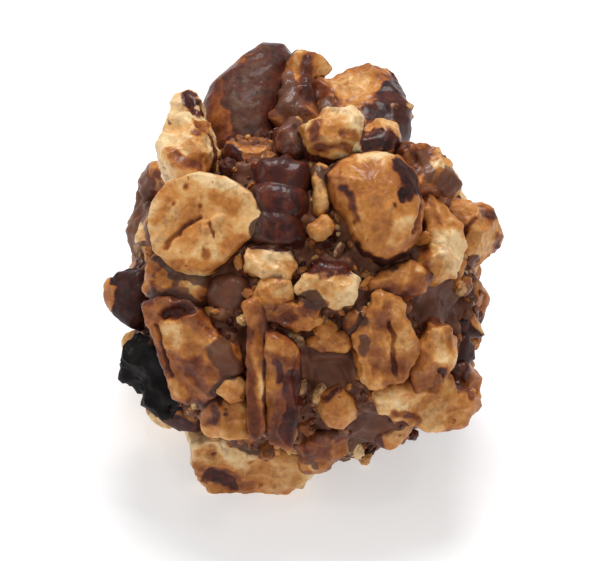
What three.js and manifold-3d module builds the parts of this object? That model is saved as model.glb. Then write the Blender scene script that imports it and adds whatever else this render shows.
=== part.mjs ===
// A pecan praline chocolate: a rough ball of milk chocolate praline, rolled in roasted chopped pecans.
// Millimetres, +Z up. The origin is the middle of the flat spot that the ball rests on, and -Y is its front.
// Every pecan piece of berry size is a solid of its own, seated in a socket in the ball. The finer
// chopped pecans are fused to the ball.
import * as THREE from 'three';
import { mergeVertices } from 'three/addons/utils/BufferGeometryUtils.js';
import Module from 'manifold-3d';

const wasm = await Module();
wasm.setup();

// Driving dimensions of the ball of chocolate, without its nuts
const ballHalf = { across: 14.6, up: 15.4, down: 13.6, toward: 14.4 }; // from its middle, seen from above the front
const squareness = 2.5; // 2 is an ellipsoid, more is squarer: the ball is pressed by hand
const viewElevation = 38; // degrees: "up" and "toward" are tilted by this from upright and from the front
const restHeight = 14.6; // the ball's middle over the table, which flattens its underside
const lumpDepth = 0.022; // unevenness of the chocolate, as a share of its radius
const seatGap = 0.3; // air between a pecan piece and the chocolate that holds it

// How finely the solids are faceted
const ballDetail = 9;
const pieceDetail = 3;
const chopDetail = 2;
const chipDetail = 1;
const coarseBelow = 6; // mm: shorter bits than this are faceted as chips
const sameCorner = 1e-4; // corners nearer than this are one
const sliver = 0.08; // mm: thinner faces, which the cuts leave, are merged away

const middle = new THREE.Vector3(0, 0, restHeight);
const tilt = THREE.MathUtils.degToRad(viewElevation);
const acrossAxis = new THREE.Vector3(1, 0, 0);
const upAxis = new THREE.Vector3(0, Math.sin(tilt), Math.cos(tilt));
const towardAxis = new THREE.Vector3(0, -Math.cos(tilt), Math.sin(tilt));

// How each kind of piece is cut from the round kernel: round is the kernel's size to the piece's, boxy
// its squareness, cuts the number of knife cuts, depth how much of the kernel a cut leaves, crisp how sharp the edges
// are, flat whether the two broad faces are flat, lumps the unevenness.
const kinds = {
  chunk: { round: [1.12, 1.12, 1.12], boxy: 3.6, cuts: 14, depth: [0.7, 0.9], crisp: 30, flat: false, lumps: 0.06 },
  nub: { round: [1.03, 1.03, 1.03], boxy: 2.5, cuts: 8, depth: [0.8, 0.96], crisp: 14, flat: false, lumps: 0.1 },
  slab: { round: [1.06, 1.08, 1.8], boxy: 4.2, cuts: 9, depth: [0.74, 0.94], crisp: 32, flat: true, lumps: 0.06 },
  disc: { round: [1, 1, 4], boxy: 2, cuts: 0, depth: [0.9, 1], crisp: 36, flat: true, lumps: 0.03 },
  smooth: { round: [1, 1, 1], boxy: 2.4, cuts: 6, depth: [0.82, 0.95], crisp: 12, flat: false, lumps: 0.05 },
  kernel: { round: [1, 1, 1.04], boxy: 2, cuts: 3, depth: [0.84, 0.94], crisp: 10, flat: false, lumps: 0.05 },
  ridged: { round: [1, 1, 1], boxy: 2.3, cuts: 2, depth: [0.88, 0.95], crisp: 8, flat: false, lumps: 0.02 },
};
const ridgePitch = 0.62; // of a ridged piece, as a share of its half length
const ridgeDepth = 0.2;
const furrowDepth = 0.16; // of the furrow along a kernel
const furrowWidth = 0.26;
const skinCone = 0.35; // no cut faces the brown skin more squarely than this cosine
const topCuts = 0.45; // a piece with an outline is cut only where the knife's cosine to its top is over this
const seenSpread = 1.05; // such a piece is this much broader than its outline, since chocolate laps over its foot
const topShare = 0.6; // its outline is seen at this share of the way from its middle to its top

// The pecan pieces that show from the front: outline is across and up in mm from the ball's middle, as seen
// from the front, and thick is through it. stand is how far the piece's middle stands over the chocolate,
// turn is the angle of its length from level, face is how much the piece turns from straight out (0) to the
// viewer (1), near, if given, is how far toward the viewer it lies from the ball's middle, and skin is the side
// with the brown skin on it, along its own length, width and thickness.
// A piece with arms is one piece that forks.
const frontPieces = [
  { name: 'kernel_top', kind: 'smooth', seed: 3, stand: 2.6, thick: 8.4, turn: 75, face: 0.6, skin: [0, 0, 1],
    outline: [[-9.9, 18.6], [-9.2, 20.4], [-8, 21.9], [-6, 23.6], [-4, 24.8], [-2.3, 24.5], [-1.2, 23.2],
       [-1.8, 21], [-2.3, 18.5], [-3, 16], [-4, 13.8], [-6.2, 12.3], [-8.3, 13.2], [-9.3, 15.6]] },
  { name: 'chunk_top_right', kind: 'chunk', seed: 14, stand: 2.0, thick: 8.6, turn: 4, face: 0.55,
    outline: [[1, 20.2], [1.5, 21.1], [3.2, 21.6], [6, 22.4], [8, 22.1], [9.2, 20.9], [9.9, 18.6], [9.9, 16.4],
       [9, 14.6], [6, 14], [3, 15], [1.6, 17.6]] },
  { name: 'chunk_top_front', kind: 'chunk', seed: 5, stand: 1.9, thick: 5.4, turn: 12, face: 0.4,
    outline: [[-0.4, 16.3], [0.6, 17.1], [2.2, 17.7], [4.6, 18.1], [5.6, 17.2], [5, 15.8], [4.2, 14.6],
       [2.6, 13.8], [1, 14.1], [0.2, 15]],
    arms: [
      { stand: 2.4, thick: 3.8, turn: 18,
        outline: [[4.3, 14.2], [4.9, 15.6], [6, 16.6], [7.2, 16.9], [8.5, 16.3], [8.9, 15.2], [8.2, 14], [6.2, 13.6]] },
    ] },
  { name: 'golden_lobe', kind: 'smooth', seed: 8, stand: 1.3, thick: 7.4, turn: 112, face: 0.4,
    outline: [[2.4, 11.8], [3.4, 13], [5, 13.6], [7, 13.8], [8.8, 13.3], [10.3, 11.9], [11, 9.5], [10.9, 6.8],
       [9.6, 4.7], [7.6, 3.9], [5.8, 5], [4.4, 7.6], [3, 9.8]] },
  { name: 'round_slice', kind: 'disc', seed: 6, stand: 2.0, thick: 2.8, turn: 20, face: 0.6,
    outline: [[-14.6, 6.8], [-14.2, 9], [-12.8, 10.8], [-10.2, 11.7], [-7.6, 11.2], [-5.2, 9.5], [-4.3, 8],
       [-4.7, 6.2], [-6.3, 4.9], [-7.6, 3.6], [-9.6, 2.5], [-12, 2.9], [-14, 4.6]] },
  { name: 'ridged_kernel', kind: 'ridged', seed: 7, stand: 0.9, thick: 5.4, turn: 84, face: 0.3, skin: [0, 0, 1],
    outline: [[-4.7, 11.8], [-4.2, 13.2], [-1.8, 13.9], [0, 13], [0.2, 11], [-0.3, 8.5], [-0.5, 6], [-1.2, 4.5],
       [-4, 4.8], [-4.9, 6.2], [-4.8, 8.5], [-4.9, 10]] },
  { name: 'right_knob', kind: 'nub', seed: 9, stand: 1.4, thick: 5.6, turn: 60, face: 0.5,
    outline: [[13.9, 7.6], [14.6, 9], [15.8, 9.5], [17.4, 8.7], [18.7, 7.2], [18.7, 5], [17.2, 3.9], [15.3, 3.9],
       [14.2, 5.3]] },
  { name: 'left_chunk', kind: 'chunk', seed: 12, stand: 2.4, thick: 5.6, turn: 84, face: 0.55,
    outline: [[-14.1, 14.2], [-13.4, 16], [-12.3, 17.2], [-10.6, 16.7], [-9.6, 15.6], [-9.3, 13.6], [-9.8, 11.8],
       [-11.8, 11.2], [-13.5, 12]],
    arms: [
      { near: 5.5, thick: 4.2,
        outline: [[-12.7, 17.4], [-12.2, 19], [-11.2, 19.5], [-10.4, 18.6], [-10.1, 17], [-10.3, 15],
           [-12.6, 15]] },
    ] },
  { name: 'left_lower_chunk', kind: 'chunk', seed: 17, stand: 1.4, thick: 5.6, turn: -49, face: 0.45,
    outline: [[-15.4, -1], [-13.8, -0.3], [-11, -0.6], [-9.4, -2.2], [-8.4, -3.6], [-7, -4.8], [-6.2, -6.8],
       [-8, -8.2], [-10, -9.8], [-12.4, -9], [-13, -7], [-14, -4.6]] },
  { name: 'edge_slab', kind: 'slab', seed: 19, stand: 1.3, thick: 5.0, turn: 93, face: 0.35,
    outline: [[-5.4, -0.8], [-4.6, -0.4], [-3.9, -1.8], [-3.7, -4], [-3.8, -8], [-3.9, -12], [-4.6, -13],
       [-5.3, -12], [-5.4, -8], [-5.3, -4]] },
  { name: 'skin_slab', kind: 'slab', seed: 20, stand: 1.2, thick: 4.8, turn: 97, face: 0.3,
    outline: [[-3.6, -3.5], [-2.6, -3.8], [-0.8, -5.3], [-0.6, -8], [-0.9, -11], [-1.5, -13.6], [-3.2, -13.4],
       [-3.6, -10], [-3.7, -6.5]] },
  { name: 'furrowed_slab', kind: 'slab', seed: 25, stand: 0.9, thick: 4.4, turn: 101, face: 0.3,
    outline: [[6.7, -0.2], [8.7, -0.4], [9.4, -2], [10.1, -4.6], [9.2, -7], [7.9, -7.5], [6.5, -8.3], [5.4, -7.4],
       [5.2, -5.2], [4.8, -3.6], [6, -2]] },
  { name: 'forked_piece', kind: 'slab', seed: 27, stand: 1.2, thick: 4.4, turn: -6, face: 0.45,
    outline: [[7.2, -9.2], [9, -8.2], [11, -7.2], [13.2, -7.6], [15.2, -9.2], [15.9, -10], [14, -11.7],
       [11, -11.6], [8.5, -11.2], [7.2, -10.4]],
    arms: [
      { stand: 1.4, thick: 4.2, turn: 70,
        outline: [[11.8, -2.7], [13.2, -2.6], [14.2, -4], [13.6, -6], [12.4, -7.8], [10.6, -8.4], [9.8, -7],
           [10.9, -5]] },
      { stand: 1.2, thick: 3.8, turn: -50,
        outline: [[13.3, -6.4], [15.4, -6.5], [16.1, -7.2], [15.7, -9.4], [14.8, -9.8], [13.4, -8.2]] },
    ] },
  { name: 'bottom_slab', kind: 'slab', seed: 29, stand: 1.4, thick: 5.6, turn: -5, face: 0.55,
    outline: [[-10.5, -13.4], [-8, -13.1], [-4, -13.6], [-1, -14.3], [0.7, -15.6], [-0.2, -17], [-1.4, -18],
       [-5, -18.6], [-8.2, -18.4], [-9.4, -16.8], [-10.4, -15]] },
  { name: 'small_fork', kind: 'slab', seed: 21, stand: 1.0, thick: 3.2, turn: -14, face: 0.4,
    outline: [[-4.9, -0.2], [-3.5, -0.1], [-1, -0.8], [1, -0.8], [1.1, -2], [0.2, -2.7], [-2, -2.5], [-4.5, -1.6]],
    arms: [
      { stand: 1.0, thick: 3, turn: 80,
        outline: [[-3.9, 1.6], [-2.4, 1.9], [-1.7, 0.6], [-2.1, -1], [-4, -1]] },
      { stand: 1.1, thick: 2.8, turn: 10,
        outline: [[-0.3, 0], [0.8, 0.2], [1.5, -0.6], [0.9, -1.8], [-0.4, -1.6]] },
    ] },
  { name: 'pale_chunk', kind: 'chunk', seed: 22, stand: 0.8, thick: 4.6, turn: 12, face: 0.4,
    outline: [[-0.7, 0.9], [0.3, 2.1], [1.4, 3.2], [3.6, 3.2], [4.6, 1.8], [4.4, 0.3], [3, -0.8], [0.6, -0.6]] },
];

// The finer chopped pecans that show from the front, given in the same way and fused to the ball
const frontChops = [
  { kind: 'chunk', seed: 32, stand: 0.9, thick: 3.6, turn: -12, face: 0.4,
    outline: [[-5.9, 4], [-5.2, 4.9], [-3, 4.9], [-1.3, 4.3], [-1, 2.9], [-1.6, 2], [-3.6, 2.1], [-5.5, 2.8]] },
  { kind: 'smooth', seed: 33, stand: 1.2, thick: 2.2, turn: 92, face: 0.4,
    outline: [[0.5, 11.9], [1.3, 12.8], [2.4, 12.2], [2.2, 10.8], [2, 8.6], [1.4, 7.9], [0.8, 8.4], [0.9, 10.4]] },
  { kind: 'chunk', seed: 34, stand: 1.7, thick: 4.8, turn: -50, face: 0.5,
    outline: [[8.6, 14], [10.4, 14.9], [12.2, 14.3], [13.6, 12.8], [14.2, 10.8], [13.4, 9.8], [11.6, 9.6],
       [10.2, 10.8], [9.4, 12.4]] },
  { kind: 'slab', seed: 35, stand: 1.2, thick: 3.4, turn: -66, face: 0.4,
    outline: [[11.6, 9.8], [12.8, 9.4], [13.8, 7.4], [14.8, 5], [14.3, 2.9], [13.2, 3.2], [12.2, 5.4], [11.4, 7.8]] },
  { kind: 'nub', seed: 36, stand: 1.4, thick: 3.4, turn: 30, face: 0.4,
    outline: [[11, 3.9], [12, 5], [13.6, 4.8], [14.5, 3.4], [14.2, 2], [12.8, 1.5], [11.4, 2.3]] },
  { kind: 'chunk', seed: 37, stand: 1.1, thick: 4.2, turn: -18, face: 0.4,
    outline: [[-15.2, 2.6], [-14.2, 4.2], [-11.5, 4], [-9.9, 2.6], [-9.8, 0.4], [-10.4, -0.9], [-13, -0.5],
       [-14.7, 0.4]] },
  { kind: 'chunk', seed: 38, stand: 1.5, thick: 5.4, turn: 80, face: 0.5, skin: [0, 0, 1],
    outline: [[-18.9, -0.2], [-18.6, 1.6], [-17.8, 2.6], [-15.8, 2.4], [-15, 0.6], [-15.4, -1.8], [-16.4, -2.9],
       [-17.9, -1.6]] },
  { kind: 'nub', seed: 39, stand: 1.2, thick: 2.6, turn: 40, face: 0.4,
    outline: [[-17.3, -4.9], [-16.6, -3.3], [-15.6, -3.2], [-15.2, -4.6], [-16.2, -5.5]] },
  { kind: 'slab', seed: 40, stand: 1.2, thick: 4, turn: -62, face: 0.4, skin: [0, 0, 1],
    outline: [[-17, -6], [-17, -7.4], [-15.5, -8], [-14.8, -10.4], [-13.2, -10.8], [-12.8, -8.6], [-13.5, -5.8],
       [-14.4, -4.1], [-15.6, -5.2]] },
  { kind: 'smooth', seed: 41, stand: 2.2, thick: 2.8, turn: 10, face: 0.5,
    outline: [[-8.2, -8.7], [-7.4, -7.6], [-6.2, -7.4], [-5.4, -8.3], [-5.8, -9.6], [-7, -9.9]] },
  { kind: 'nub', seed: 42, stand: 1.6, thick: 3.8, turn: 4, face: 0.4,
    outline: [[-9.8, -9.8], [-8, -9.3], [-6, -9.6], [-5.2, -11], [-5.4, -12.8], [-7.5, -13.2], [-9, -12.4]] },
  { kind: 'smooth', seed: 43, stand: 1.2, thick: 3.8, turn: 62, face: 0.4,
    outline: [[1.4, -10.4], [2, -9], [3.2, -8.6], [4.4, -9.7], [4.8, -11.4], [3.6, -12.5], [2.2, -12.1]] },
  { kind: 'chunk', seed: 44, stand: 0.8, thick: 3.4, turn: -8, face: 0.3,
    outline: [[6, 1], [7.2, 2.5], [9, 3.2], [11.9, 2.3], [10.6, 0.4], [8.8, -0.1], [7, 0.2]] },
  { kind: 'chunk', seed: 45, stand: 0.9, thick: 3.2, turn: 80, face: 0.4, skin: [0, 0, 1],
    outline: [[14, -5.9], [14.4, -4.2], [15.4, -3.4], [16.1, -4.4], [16.1, -5.8], [15, -6.3]] },
  { kind: 'chunk', seed: 47, stand: 1.4, thick: 3.6, turn: 40, face: 0.4,
    outline: [[-16.2, 11.2], [-15, 12.4], [-13.8, 12.8], [-13.1, 11.8], [-13.6, 10.2], [-15.4, 9.8]] },
  { kind: 'chunk', seed: 48, stand: 1.2, thick: 4, turn: 30, face: 0.4,
    outline: [[-0.6, -14.2], [2, -13], [4.4, -13.4], [3.4, -15.2], [1.9, -16.7], [0, -16.7]] },
  { kind: 'chunk', seed: 49, stand: 2.8, thick: 5.6, turn: 85, face: 0.55, skin: [0.4, 0, 1],
    outline: [[-1.7, 23], [-0.5, 23.5], [0.4, 22], [0.7, 20], [0.9, 18], [-0.2, 16.8], [-2.2, 16.8], [-2.5, 19],
       [-2, 21.5]] },
  { kind: 'nub', seed: 50, stand: 1.3, thick: 3, turn: 10, face: 0.4,
    outline: [[-2.7, 15.8], [-1.2, 17], [0.1, 16], [0.1, 14.3], [-1.2, 13.7], [-2.4, 14.3]] },
  { kind: 'chunk', seed: 51, stand: 1.2, thick: 2.8, turn: -12, face: 0.5, skin: [0, -0.6, 1],
    outline: [[-14.3, -11.1], [-12.8, -10.5], [-10.8, -11.3], [-10.3, -12.7], [-12, -12.8]] },
  { kind: 'chunk', seed: 54, stand: 0.5, thick: 3, turn: 85, face: 0.4,
    outline: [[-16.4, 4.4], [-16.2, 7.5], [-15.8, 10], [-14.5, 10.5], [-13.8, 7], [-14, 4.2], [-15.5, 3.6]] },
  { kind: 'nub', seed: 52, stand: 0.8, thick: 1.8, turn: 30, face: 0.4,
    outline: [[0.5, 6.3], [1.2, 7], [2, 7.3], [2, 6.8], [1.2, 6.1]] },
  { kind: 'smooth', seed: 57, stand: 0.2, thick: 3, turn: 10, face: 0.3,
    outline: [[-9.4, 0.4], [-8.7, 1.8], [-7, 2.3], [-5.6, 1.5], [-5.4, -0.2], [-6.8, -1.3], [-8.7, -0.9]] },
  { kind: 'chunk', seed: 55, stand: 0.5, thick: 2.4, turn: 10, face: 0.4,
    outline: [[3.6, -1.6], [4.6, -1], [5.7, -1.6], [5.5, -3], [4.1, -3.3]] },
  { kind: 'chunk', seed: 56, stand: 0.5, thick: 2.4, turn: 0, face: 0.4,
    outline: [[0.4, -4], [1.6, -3.2], [3.5, -3.5], [3.9, -4.6], [1.4, -4.9]] },
];

// Where the chocolate shows bare from the front: [across, up, radius of the bare patch]
const barePatches = [
  [-7.5, 1.2, 2.2],
  [2.3, -6.5, 2.6],
  [12.2, -0.4, 2.6],
  [-14, 8.4, 2.4],
  [6, -12.2, 2.2],
];

// The pieces all round the rest of the ball, placed by rule: spots is how many spots are tried, spread
// evenly, size the range of their length, slimness the range of width and thickness as shares of it,
// lift how far their middles stand above the chocolate, spacing how near they come (1 is touching),
// behind the nearest to the viewer that they lie, and underside the nearest to straight down, as a cosine.
const rules = [
  { name: 'pecan', seed: 501, spots: 90, size: [7.4, 11], slimness: [0.55, 0.8], lift: [0, 1.4], spacing: 0.9,
    behind: -6, underside: 0.74 },
  { name: 'chop', seed: 601, spots: 170, size: [3.4, 5.8], slimness: [0.55, 0.85], lift: [-0.5, 0.5], spacing: 0.84,
    behind: 99, underside: 0.88 },
  { name: 'chip', seed: 701, spots: 40, size: [1.9, 2.9], slimness: [0.7, 0.95], lift: [0, 0.4], spacing: 0.9,
    behind: 99, underside: 0.93 },
];
const ruleKinds = ['chunk', 'slab', 'chunk', 'kernel', 'slab', 'nub', 'chunk'];

const chocolateColor = 0x6b4433;
const pecanColor = 0xc08a4e;

// Repeatable random draws, by the Park-Miller rule.
function draws(seed) {
  const modulus = 2147483647;
  let state = (seed * 7919 + 12345) % modulus;
  return (low = 0, high = 1) => {
    state = (state * 16807) % modulus;
    return low + (high - low) * (state / modulus);
  };
}

// count unit vectors spread evenly over a sphere, on the golden spiral.
function spread(count) {
  const golden = Math.PI * (3 - Math.sqrt(5));
  return Array.from({ length: count }, (_, k) => {
    const z = 1 - (2 * k + 1) / count;
    const ring = Math.sqrt(1 - z * z);
    return new THREE.Vector3(ring * Math.cos(golden * k), ring * Math.sin(golden * k), z);
  });
}

// A gentle unevenness from -1 to 1 over all directions: the mean of a few waves.
function waves(seed, count, pitch) {
  const draw = draws(seed);
  const list = Array.from({ length: count }, () => {
    const way = new THREE.Vector3(draw(-1, 1), draw(-1, 1), draw(-1, 1)).normalize();
    return { way: way.multiplyScalar(draw(0.7, 1.3) * pitch), phase: draw(0, 2 * Math.PI) };
  });
  return (d) => list.reduce((sum, w) => sum + Math.sin(w.way.dot(d) + w.phase), 0) / count;
}

const lumps = waves(901, 9, 6);

// The superellipsoid of the ball, grown by lift: its size along a direction given in across, up, toward.
function ballGauge(a, u, t, lift) {
  const share = (value, half) => Math.abs(value / (half + lift)) ** squareness;
  const sum = share(a, ballHalf.across) + share(u, u > 0 ? ballHalf.up : ballHalf.down) + share(t, ballHalf.toward);
  return sum ** (1 / squareness);
}

function inView(d) {
  return [d.dot(acrossAxis), d.dot(upAxis), d.dot(towardAxis)];
}

function fromView(a, u, t) {
  return new THREE.Vector3().addScaledVector(acrossAxis, a).addScaledVector(upAxis, u).addScaledVector(towardAxis, t);
}

// Straight out of the ball at a point given in across, up, toward.
function outward(a, u, t) {
  const slope = (value, half) => (Math.sign(value) * Math.abs(value / half) ** (squareness - 1)) / half;
  const tall = u > 0 ? ballHalf.up : ballHalf.down;
  return fromView(slope(a, ballHalf.across), slope(u, tall), slope(t, ballHalf.toward)).normalize();
}

// The place of a front piece: on the ball grown by its stand, where its top is seen at the mean of its outline.
function placeInFront({ outline, stand, near, thick, turn, face }) {
  let [a, u] = [0, 1].map((k) => outline.reduce((sum, corner) => sum + corner[k], 0) / outline.length);
  const rise = () => {
    const left = 1 - ballGauge(a, u, 0, stand) ** squareness;
    const t = near ?? (ballHalf.toward + stand) * Math.max(0, left) ** (1 / squareness);
    const out = outward(a, u, t).multiplyScalar(1 - face).addScaledVector(towardAxis, face);
    return { t, out: out.normalize() };
  };
  const lean = rise().out;
  const sunk = (topShare * thick) / 2;
  a -= sunk * lean.dot(acrossAxis);
  u -= sunk * lean.dot(upAxis);
  const { t, out } = rise();
  const angle = THREE.MathUtils.degToRad(turn);
  return { at: fromView(a, u, t), ...frameOf(out, fromView(Math.cos(angle), Math.sin(angle), 0)) };
}

// A front piece with its place, and with its outline laid into its own plane and scaled to -1 to 1 both ways,
// as corners in order of their angles.
function outlined(piece) {
  const place = placeInFront(piece);
  const { outline } = piece;
  const mean = [0, 1].map((k) => outline.reduce((sum, corner) => sum + corner[k], 0) / outline.length);
  const [la, lu] = inView(place.length);
  const [wa, wu] = inView(place.width);
  const area = la * wu - lu * wa;
  const inPlane = outline.map(([a, u]) => {
    const [da, du] = [a - mean[0], u - mean[1]];
    return [(da * wu - du * wa) / area, (la * du - lu * da) / area];
  });
  const halves = [0, 1].map((k) => {
    const along = inPlane.map((corner) => corner[k]);
    return ((Math.max(...along) - Math.min(...along)) / 2) * seenSpread;
  });
  const edge = inPlane
    .map(([x, y]) => [(x / halves[0]) * seenSpread, (y / halves[1]) * seenSpread])
    .map(([x, y]) => ({ x, y, angle: Math.atan2(y, x) }))
    .sort((one, other) => one.angle - other.angle);
  return { ...piece, place, edge, size: [2 * halves[0], 2 * halves[1], piece.thick] };
}

// How far out x, y lies in an outline: 1 on the straight line between the corners on both sides of it.
function outlineGauge(edge, x, y) {
  const angle = Math.atan2(y, x);
  const found = edge.findIndex((corner) => corner.angle > angle);
  const next = found < 0 ? 0 : found;
  const [a, b] = [edge[(next + edge.length - 1) % edge.length], edge[next]];
  return (x * (b.y - a.y) - y * (b.x - a.x)) / (a.x * b.y - a.y * b.x);
}

// The arms of a piece that forks, each with an outline of its own.
function armsOf(piece) {
  return (piece.arms ?? []).map((arm, k) => outlined({ ...piece, seed: piece.seed + 200 + k, ...arm, arms: [] }));
}

// Right-handed axes of a piece: its thickness along out, its length as near to the given way as can be.
function frameOf(out, way) {
  const thickness = out.clone().normalize();
  const length = way.clone().addScaledVector(thickness, -way.dot(thickness)).normalize();
  return { length, width: new THREE.Vector3().crossVectors(thickness, length), thickness };
}

// The knife cuts of a piece: unit normals with their distances from its middle, for a kernel of half size 1. On
// a piece with an outline they only bevel its top, so that its outline stays.
function cutsOf({ kind: kindName, seed, skin = [0, 0, -1], edge }) {
  const kind = kinds[kindName];
  const draw = draws(seed);
  const side = new THREE.Vector3(...skin).normalize();
  const spin = new THREE.Quaternion().setFromEuler(new THREE.Euler(draw(0, 6.28), draw(0, 6.28), draw(0, 6.28)));
  const cuts = spread(kind.cuts).map((n) => {
    n.applyQuaternion(spin).add(new THREE.Vector3(draw(-0.3, 0.3), draw(-0.3, 0.3), draw(-0.3, 0.3))).normalize();
    const left = draw(...kind.depth);
    return { n, h: edge ? Math.hypot(n.x, n.y) + n.z * (2 * left - 1) : left };
  });
  const kept = cuts.filter((cut) => cut.n.dot(side) < skinCone && (!edge || cut.n.z > topCuts));
  if (kind.flat) {
    for (const way of [1, -1]) {
      kept.push({ n: new THREE.Vector3(draw(-0.1, 0.1), draw(-0.1, 0.1), way).normalize(), h: 1 });
    }
  }
  return kept;
}

// A piece's form: reach(d) is the distance from its middle to its surface along the unit vector d, in
// units of its half size, and scale are the half sizes that give it exactly its length, width and thickness.
function formOf(piece) {
  const kind = kinds[piece.kind];
  const cuts = cutsOf(piece);
  const wave = waves(piece.seed + 50, 4, 3.2);
  const reach = (d) => {
    const q = [d.x, d.y, d.z].map((c, k) => c / kind.round[k]);
    if (piece.edge) q.splice(0, 2, outlineGauge(piece.edge, d.x, d.y));
    const sides = q.reduce((total, c) => total + Math.abs(c) ** kind.boxy, 0);
    let sum = sides ** (kind.crisp / kind.boxy);
    for (const cut of cuts) sum += (Math.max(0, d.dot(cut.n)) / cut.h) ** kind.crisp;
    let r = sum ** (-1 / kind.crisp) * (1 + kind.lumps * wave(d));
    if (piece.kind === 'ridged') r *= 1 + ridgeDepth * (Math.abs(Math.cos((Math.PI * r * d.x) / ridgePitch)) - 0.6);
    if (piece.kind === 'kernel' && d.z > 0) r *= 1 - furrowDepth * Math.exp(-((d.y / furrowWidth) ** 2)) * d.z;
    return r;
  };
  const most = [0, 0, 0];
  for (const d of spread(240)) {
    const r = reach(d);
    [d.x, d.y, d.z].forEach((c, k) => {
      most[k] = Math.max(most[k], Math.abs(r * c));
    });
  }
  if (piece.edge) most.splice(0, 2, 1, 1);
  return { reach, scale: piece.size.map((s, k) => s / 2 / most[k]) };
}

// A closed mesh of merged corners as a solid.
function solid(geometry) {
  return new wasm.Manifold(
    new wasm.Mesh({
      numProp: 3,
      vertProperties: new Float32Array(geometry.attributes.position.array),
      triVerts: new Uint32Array(geometry.index.array),
    }),
  );
}

// A sphere's evenly spread corners, each moved by place(d), as merged geometry.
function moulded(detail, place) {
  const sphere = new THREE.OctahedronGeometry(1, detail);
  sphere.deleteAttribute('normal');
  sphere.deleteAttribute('uv');
  const merged = mergeVertices(sphere, sameCorner);
  const corners = merged.attributes.position;
  const d = new THREE.Vector3();
  for (let k = 0; k < corners.count; k += 1) {
    d.fromBufferAttribute(corners, k).normalize();
    corners.setXYZ(k, ...place(d).toArray());
  }
  return merged;
}

// One lobe of a piece at its place, grown by gap along its normals.
function lobe(piece, place, detail, gap) {
  const form = formOf(piece);
  const geometry = moulded(detail, (d) => {
    const r = form.reach(d);
    return middle
      .clone()
      .add(place.at)
      .addScaledVector(place.length, r * d.x * form.scale[0])
      .addScaledVector(place.width, r * d.y * form.scale[1])
      .addScaledVector(place.thickness, r * d.z * form.scale[2]);
  });
  if (gap > 0) {
    geometry.computeVertexNormals();
    const { position, normal } = geometry.attributes;
    for (let k = 0; k < position.count; k += 1) {
      position.setXYZ(
        k,
        position.getX(k) + gap * normal.getX(k),
        position.getY(k) + gap * normal.getY(k),
        position.getZ(k) + gap * normal.getZ(k),
      );
    }
  }
  return solid(geometry);
}

// A piece's lobes joined: its own form and any arms.
function pieceSolid(piece, detail, gap) {
  const main = lobe(piece, piece.place, detail, gap);
  return armsOf(piece).reduce((whole, arm) => whole.add(lobe(arm, arm.place, detail, gap)), main);
}

// How near a ball of radius room around a point comes to a piece: under 1 they overlap.
function nearness(at, room, { place, size }) {
  const away = at.clone().sub(place.at);
  const share = (axis, span) => away.dot(axis) / (span / 2 + room);
  return Math.hypot(share(place.length, size[0]), share(place.width, size[1]), share(place.thickness, size[2]));
}

// Pieces placed by rule on free spots. A spot is free if the new piece stays clear of those already there.
function placeByRule(rule, there) {
  const draw = draws(rule.seed);
  const spin = new THREE.Quaternion().setFromEuler(new THREE.Euler(draw(0, 6.28), draw(0, 6.28), draw(0, 6.28)));
  const made = [];
  for (const spot of spread(rule.spots)) {
    const jitter = 1.1 / Math.sqrt(rule.spots);
    const d = spot.applyQuaternion(spin);
    d.add(new THREE.Vector3(draw(-jitter, jitter), draw(-jitter, jitter), draw(-jitter, jitter))).normalize();
    const length = draw(...rule.size);
    const size = [length, length * draw(...rule.slimness), length * draw(...rule.slimness) * 0.9];
    const lift = draw(...rule.lift);
    const lean = new THREE.Vector3(draw(-0.5, 0.5), draw(-0.5, 0.5), draw(-0.5, 0.5));
    const way = new THREE.Vector3(draw(-1, 1), draw(-1, 1), draw(-1, 1));
    const kind = ruleKinds[Math.floor(draw(0, ruleKinds.length))];
    const skin = [draw(-1, 1), draw(-1, 1), draw(-1, 1)];
    const [a, u, t] = inView(d);
    const at = d.clone().multiplyScalar(1 / ballGauge(a, u, t, lift));
    const out = outward(a, u, t).add(lean);
    const off = ([pa, pu]) => Math.hypot(at.dot(acrossAxis) - pa, at.dot(upAxis) - pu);
    const bare = barePatches.some((patch) => t > 0 && off(patch) < patch[2]);
    const crowded = [...there, ...made].some((other) => nearness(at, length * 0.4, other) < rule.spacing);
    if (bare || crowded || at.dot(towardAxis) > rule.behind || -d.z > rule.underside) continue;
    made.push({ kind, seed: rule.seed + made.length + 1, size, skin, place: { at, ...frameOf(out, way) } });
  }
  return made;
}

const front = frontPieces.map(outlined);
const chops = frontChops.map(outlined);
const arms = front.flatMap(armsOf);
const round = placeByRule(rules[0], [...front, ...arms, ...chops]).map((piece, k) => ({
  ...piece,
  name: `${rules[0].name}_${String(k + 1).padStart(2, '0')}`,
}));
const whole = [...front, ...round];
chops.push(...placeByRule(rules[1], [...whole, ...arms, ...chops]));
chops.push(...placeByRule(rules[2], [...whole, ...arms, ...chops]));

// The largest of the bodies that a cut leaves.
function largest(manifold) {
  return manifold.decompose().reduce((best, body) => (body.volume() > best.volume() ? body : best));
}

const aboveTable = (manifold) => manifold.trimByPlane([0, 0, 1], 0);

// The pecan pieces, each cut back where an earlier one lies
const pieceSolids = [];
const seats = [];
for (const piece of whole) {
  let body = pieceSolid(piece, pieceDetail, 0);
  for (const seat of seats) body = body.subtract(seat);
  pieceSolids.push(largest(aboveTable(body)));
  seats.push(pieceSolid(piece, pieceDetail, seatGap));
}

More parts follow.
